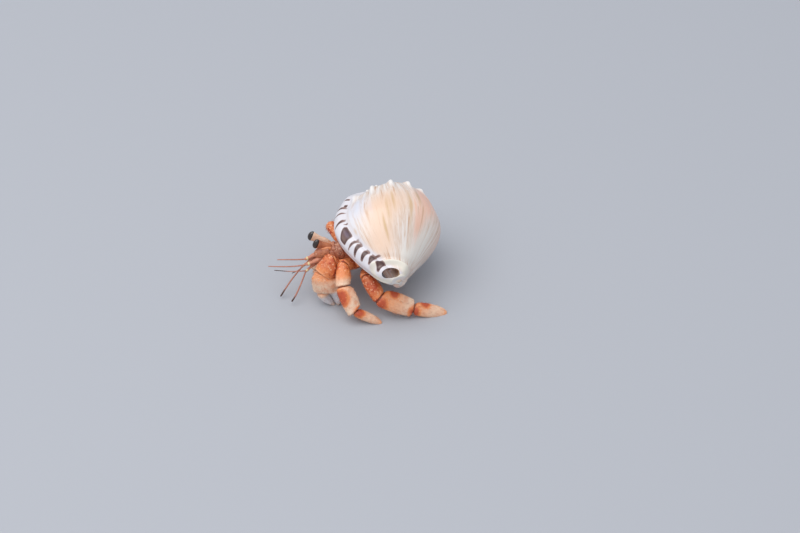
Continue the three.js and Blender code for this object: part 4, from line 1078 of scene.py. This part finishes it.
def abdomen_rings():
    """The hollow's own rings drawn in towards their middles, after an oval waist at the thorax.

    Each point of the waist lies at the angle of its own point on the first ring.
    """
    rings = []
    for turn, fill in zip(ABDOMEN_TURNS, ABDOMEN_FILL):
        ring = set_shell(inner_ring(turn))
        middle = ring.mean(axis=0)
        rings.append(middle + (ring - middle) * fill)
    middle = rings[0].mean(axis=0)
    short = unit(np.array([1.0, 0, 0]) - SHELL_AXIS[0] * SHELL_AXIS)
    offset = rings[0] - middle
    reach, length = np.abs(offset @ short).max(), np.abs(offset @ SHELL_AXIS).max()
    angle = np.arctan2(offset @ short / reach, offset @ SHELL_AXIS / length)[:, None]
    waist = WAIST + WAIST_LONG * SHELL_AXIS * np.cos(angle) + WAIST_SHORT * short * np.sin(angle)
    return np.stack([waist, *rings])


coarse_rings = abdomen_rings()
stages, sides = coarse_rings.shape[:2]
smooth_rings = along(coarse_rings.reshape(stages, -1), np.linspace(0, stages - 1, ABDOMEN_ROWS))
smooth_rings = smooth_rings.reshape(ABDOMEN_ROWS, sides, 3)
abdomen_out = unit(smooth_rings - smooth_rings.mean(axis=1, keepdims=True))
wrinkles = 0.12 * np.sin(np.linspace(0, ABDOMEN_ROWS * 1.9, ABDOMEN_ROWS))[:, None, None]
abdomen_skin = (smooth_rings + abdomen_out * wrinkles)[:, ::-1]  # the hollow's rings run the other way
abdomen = make_body("abdomen_skin", abdomen_skin, {})
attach(abdomen, "root")
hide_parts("abdomen")
tree, shader = start_material("soft_pink_skin", abdomen)
solid = add_node(tree, "ShaderNodeTexCoord")
mottle = add_node(tree, "ShaderNodeTexNoise", {"Scale": 1000 / 3.0, "Detail": 4.0},
                  {"Vector": solid.outputs["Object"]})  # mottling 3 mm across
flush = add_node(tree, "ShaderNodeValToRGB", links={"Fac": mottle.outputs["Fac"]})
flush.color_ramp.elements[0].color = linear("#B97F6C")
flush.color_ramp.elements[1].color = linear("#DDB7A2")
tree.links.new(flush.outputs["Color"], shader.inputs["Base Color"])
shader.inputs["Roughness"].default_value = 0.5

# ---- the eyes ------------------------------------------------------------------------------------
# Compound eyes: a dark cornea caps each stalk, taller than wide. Its fine facets lie under a smooth film
# of water, which gives the eye a sharp wet shine.

EYES = {
    # where the stalk ends and the front of the cornea
    "left": ([-25.6, 0.95, 20.5], [-27.1, 0.6, 21.1]),
    "right": ([-27.4, 4.75, 20.9], [-28.9, 5.0, 21.5]),
}
CORNEA_SHARES = [
    # place from the stalk's end to the front, and share of the half sizes there
    [-0.2, 0.8], [0.0, 0.96], [0.18, 1.02], [0.4, 0.98], [0.65, 0.84], [0.85, 0.6], [0.96, 0.34], [1.0, 0.1],
]
CORNEA_HALF = np.array([1.87, 1.02])  # half height and half width
for side, (stalk_end, front) in EYES.items():
    stalk_end, front = np.array(stalk_end), np.array(front)
    at, share = np.array(CORNEA_SHARES).T[..., None]
    stations = np.hstack([stalk_end + (front - stalk_end) * at, CORNEA_HALF * share])
    cornea = make_body(f"cornea_{side}", tube_rings(stations, SIDEWAYS, 40, 40), {})
    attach(cornea, "root")
    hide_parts(f"eye_{side}")
    tree, shader = start_material("wet_dark_cornea", cornea)
    solid = add_node(tree, "ShaderNodeTexCoord")
    facets = add_node(tree, "ShaderNodeTexVoronoi", {"Scale": 1000 / 0.14},
                      {"Vector": solid.outputs["Object"]})  # facets 0.14 mm across, coarser than real ones
    sheen = add_node(tree, "ShaderNodeTexNoise", {"Scale": 1000 / 1.5}, {"Vector": solid.outputs["Object"]})
    dark = add_node(tree, "ShaderNodeValToRGB", links={"Fac": sheen.outputs["Fac"]})
    dark.color_ramp.elements[0].color = linear("#120D0B")
    dark.color_ramp.elements[1].color = linear("#3A2A20")
    tree.links.new(dark.outputs["Color"], shader.inputs["Base Color"])
    shader.inputs["Roughness"].default_value = 0.18
    shader.inputs["Coat Weight"].default_value = 0.6
    bump = add_node(tree, "ShaderNodeBump", {"Strength": 0.25, "Distance": 0.03 * MM},
                    {"Height": facets.outputs["Distance"]})
    tree.links.new(bump.outputs["Normal"], shader.inputs["Normal"])

# ---- the feelers ---------------------------------------------------------------------------------
# Antennae and antennules: stout jointed pieces, then a fine ringed whip; each antennule's whip forks.
# They are thin reddish cuticle, yellowish at the last joint and dark at the tips, with a faint shine.

FEELERS = {
    # stations of the base, places of the whip, and its half thickness at the start and the tip
    "antenna_left": (
        [[-21.8, 1.0, 15.6, 1.0, 0.9], [-23.6, 0.2, 15.3, 1.05, 0.95], [-24.4, -0.1, 15.0, 0.7, 0.65],
         [-25.4, -0.6, 14.6, 0.95, 0.85], [-27.0, -0.9, 13.9, 0.75, 0.7], [-27.5, -1.0, 13.7, 0.55, 0.5],
         [-28.4, -1.1, 13.3, 0.7, 0.65], [-29.5, -1.2, 12.8, 0.45, 0.42]],
        [[-29.2, -1.2, 12.85], [-34.0, -1.4, 12.2], [-39.0, -1.2, 11.9], [-43.2, -0.9, 11.8]], 0.27, 0.17),
    "antenna_right": (
        [[-22.2, 2.6, 15.8, 1.0, 0.9], [-24.2, 2.5, 15.4, 1.05, 0.95], [-25.0, 2.4, 15.1, 0.7, 0.65],
         [-26.2, 2.2, 14.8, 0.95, 0.85], [-27.8, 1.9, 14.1, 0.75, 0.7], [-28.3, 1.7, 13.9, 0.55, 0.5],
         [-29.1, 1.5, 13.6, 0.7, 0.65], [-30.1, 1.3, 13.2, 0.45, 0.42]],
        [[-29.8, 1.3, 13.25], [-33.5, 1.0, 13.3], [-37.0, 1.0, 13.3], [-40.0, 1.2, 13.1]], 0.27, 0.17),
    "antennule_left": (
        [[-22.4, 1.0, 13.9, 0.8, 0.7], [-24.4, 0.6, 13.2, 0.75, 0.7], [-25.2, 0.4, 12.8, 0.5, 0.45],
         [-26.4, 0.1, 12.4, 0.65, 0.6], [-27.8, -0.6, 11.6, 0.6, 0.55], [-28.3, -0.9, 11.3, 0.4, 0.38],
         [-29.2, -1.5, 10.7, 0.5, 0.45], [-30.0, -2.0, 10.1, 0.36, 0.34]],
        [[-29.8, -1.9, 10.25], [-31.8, -5.0, 6.2], [-33.4, -7.2, 3.6], [-34.8, -8.6, 1.9]], 0.26, 0.3),
    "antennule_right": (
        [[-22.8, 2.9, 14.0, 0.8, 0.7], [-24.9, 2.6, 13.4, 0.75, 0.7], [-25.8, 2.4, 13.1, 0.5, 0.45],
         [-27.2, 2.2, 12.7, 0.65, 0.6], [-28.8, 1.6, 11.9, 0.6, 0.55], [-29.4, 1.3, 11.6, 0.4, 0.38],
         [-30.4, 0.9, 10.9, 0.5, 0.45], [-31.3, 0.55, 10.3, 0.36, 0.34]],
        [[-31.1, 0.6, 10.45], [-34.6, -1.4, 6.6], [-37.0, -3.2, 3.6], [-38.9, -5.0, 1.2]], 0.26, 0.3),
}
SIDE_WHIPS = {
    # each side branch joins its feeler's base
    "antennule_left": (
        [[-29.6, -1.7, 10.4], [-31.4, -2.6, 11.0], [-35.6, -2.6, 10.9], [-41.0, -2.0, 10.9]], 0.2, 0.14),
    "antennule_right": (
        [[-30.8, 0.7, 10.6], [-32.2, -0.1, 9.6], [-33.6, -0.6, 9.0], [-34.8, -1.0, 8.7]], 0.2, 0.14),
}
WHIP_RING = 0.5  # length of one ring of a whip
BASE_ROWS = 80


def whip_rings(route, start, end):
    """A thin tapering tube, its half size swelling a little in every ring: a clipped sine along it."""
    route = np.asarray(route, float)
    length = np.linalg.norm(np.diff(route, axis=0), axis=1).sum()
    rows = int(length / WHIP_RING * 6)
    share = np.linspace(0, 1, rows)[:, None]
    places = along(route, share[:, 0] * (len(route) - 1))
    half = (start + (end - start) * share) * (1 + 0.12 * np.sin(TAU * share * length / WHIP_RING))
    half = half * (1 - 0.6 * ease(share, 0.97, 1.0))
    return tube_rings(np.hstack([places, half, half]), WORLD_UP, rows, 12), share


for name, (base, *whip) in FEELERS.items():
    yellowed = np.exp(-(((np.linspace(0, 1, BASE_ROWS) - 0.88) / 0.06) ** 2))[:, None]
    base_marks = {"tip": 0.0, "base": 1.0, "yellowed": yellowed}
    feeler = make_body(name, tube_rings(base, WORLD_UP, BASE_ROWS, 28), base_marks)
    whips = [whip, SIDE_WHIPS[name]] if name in SIDE_WHIPS else [whip]
    parts = []
    for number, (route, start, end) in enumerate(whips):
        rings, share = whip_rings(route, start, end)
        parts.append(make_body(f"{name}_whip_{number}", rings, {"tip": share, "base": 0.0, "yellowed": 0.0}))
    combine(feeler, parts, "UNION")
    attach(feeler, "root")
    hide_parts(f"{name}_base", f"{name}_whip")
    tree, shader = start_material("feeler_cuticle", feeler)
    solid = add_node(tree, "ShaderNodeTexCoord")
    mottle = add_node(tree, "ShaderNodeTexNoise", {"Scale": 1000 / 1.2, "Detail": 3.0},
                      {"Vector": solid.outputs["Object"]})  # mottling 1.2 mm across
    pink = add_node(tree, "ShaderNodeValToRGB", links={"Fac": mottle.outputs["Fac"]})
    pink.color_ramp.elements[0].color = linear("#9A5A48")
    pink.color_ramp.elements[1].color = linear("#CE8E76")
    dark_from = 0.6 if name.startswith("antennule") else 1.35  # the antennae stay light to the tip
    painted = lay_markings(tree, pink, [
        ("base", "#C98468", 0.4, 0.9, 0.3),
        ("yellowed", "#DCCB9A", 0.3, 0.9, 0.3),
        ("tip", "#4A3028", dark_from, dark_from + 0.25, 0.1),
    ], mottle)
    tree.links.new(painted.outputs["Color"], shader.inputs["Base Color"])
    shader.inputs["Roughness"].default_value = 0.45

# ---- the stage, the light and the camera ---------------------------------------------------------
# A plain floor of matt pale board, one large soft light overhead under a pale sky, and a camera that
# looks down on the crab.

FLOOR_HALF = 3.0
floor_mesh = bpy.data.meshes.new("floor")
floor_corners = [(x * FLOOR_HALF, y * FLOOR_HALF, 0) for x, y in ((-1, -1), (1, -1), (1, 1), (-1, 1))]
floor_mesh.from_pydata(floor_corners, [], [(0, 1, 2, 3)])
floor = bpy.data.objects.new("floor", floor_mesh)
bpy.context.scene.collection.objects.link(floor)
tree, shader = start_material("matt_pale_board", floor)
shader.inputs["Base Color"].default_value = linear("#AEB0B5")
shader.inputs["Roughness"].default_value = 0.8

CAMERA_TILT = np.radians(40.0)  # how far the camera looks down
CAMERA_DISTANCE = 975.0
VIEW_WIDTH, VIEW_HEIGHT = 800.0, 533.0  # pixels
CAMERA_FOCUS = 2730.0  # focal length in pixels
ORIGIN_SHOWS = np.array([390.0, 290.0])  # pixel where the animal's own frame has its origin
SENSOR = 36.0

right = np.array([1.0, 0.0, 0.0])
up = np.array([0.0, np.sin(CAMERA_TILT), np.cos(CAMERA_TILT)])
back = np.array([0.0, -np.cos(CAMERA_TILT), np.sin(CAMERA_TILT)])
off_middle = ORIGIN_SHOWS - np.array([VIEW_WIDTH, VIEW_HEIGHT]) / 2
sight = unit(-back * CAMERA_FOCUS + right * off_middle[0] - up * off_middle[1])
camera_data = bpy.data.cameras.new("camera")
camera_data.sensor_width = SENSOR
camera_data.lens = CAMERA_FOCUS * SENSOR / VIEW_WIDTH
camera = bpy.data.objects.new("camera", camera_data)
camera.location = place(-sight * CAMERA_DISTANCE)
camera.rotation_euler = (np.pi / 2 - CAMERA_TILT, 0.0, 0.0)
bpy.context.scene.collection.objects.link(camera)
bpy.context.scene.camera = camera

world = bpy.data.worlds.new("soft_sky")
world.use_nodes = True
sky = world.node_tree.nodes["Background"]
sky.inputs["Color"].default_value = linear("#F0F5FF")
sky.inputs["Strength"].default_value = 0.7
bpy.context.scene.world = world
light_data = bpy.data.lights.new("overcast", "AREA")
light_data.energy = 10.8
light_data.size = 1.2
light = bpy.data.objects.new("overcast", light_data)
light.location = (-0.35, -0.25, 1.1)
light.rotation_euler = (0.2, -0.3, 0.0)
bpy.context.scene.collection.objects.link(light)

bpy.context.scene.view_settings.view_transform = "Standard"
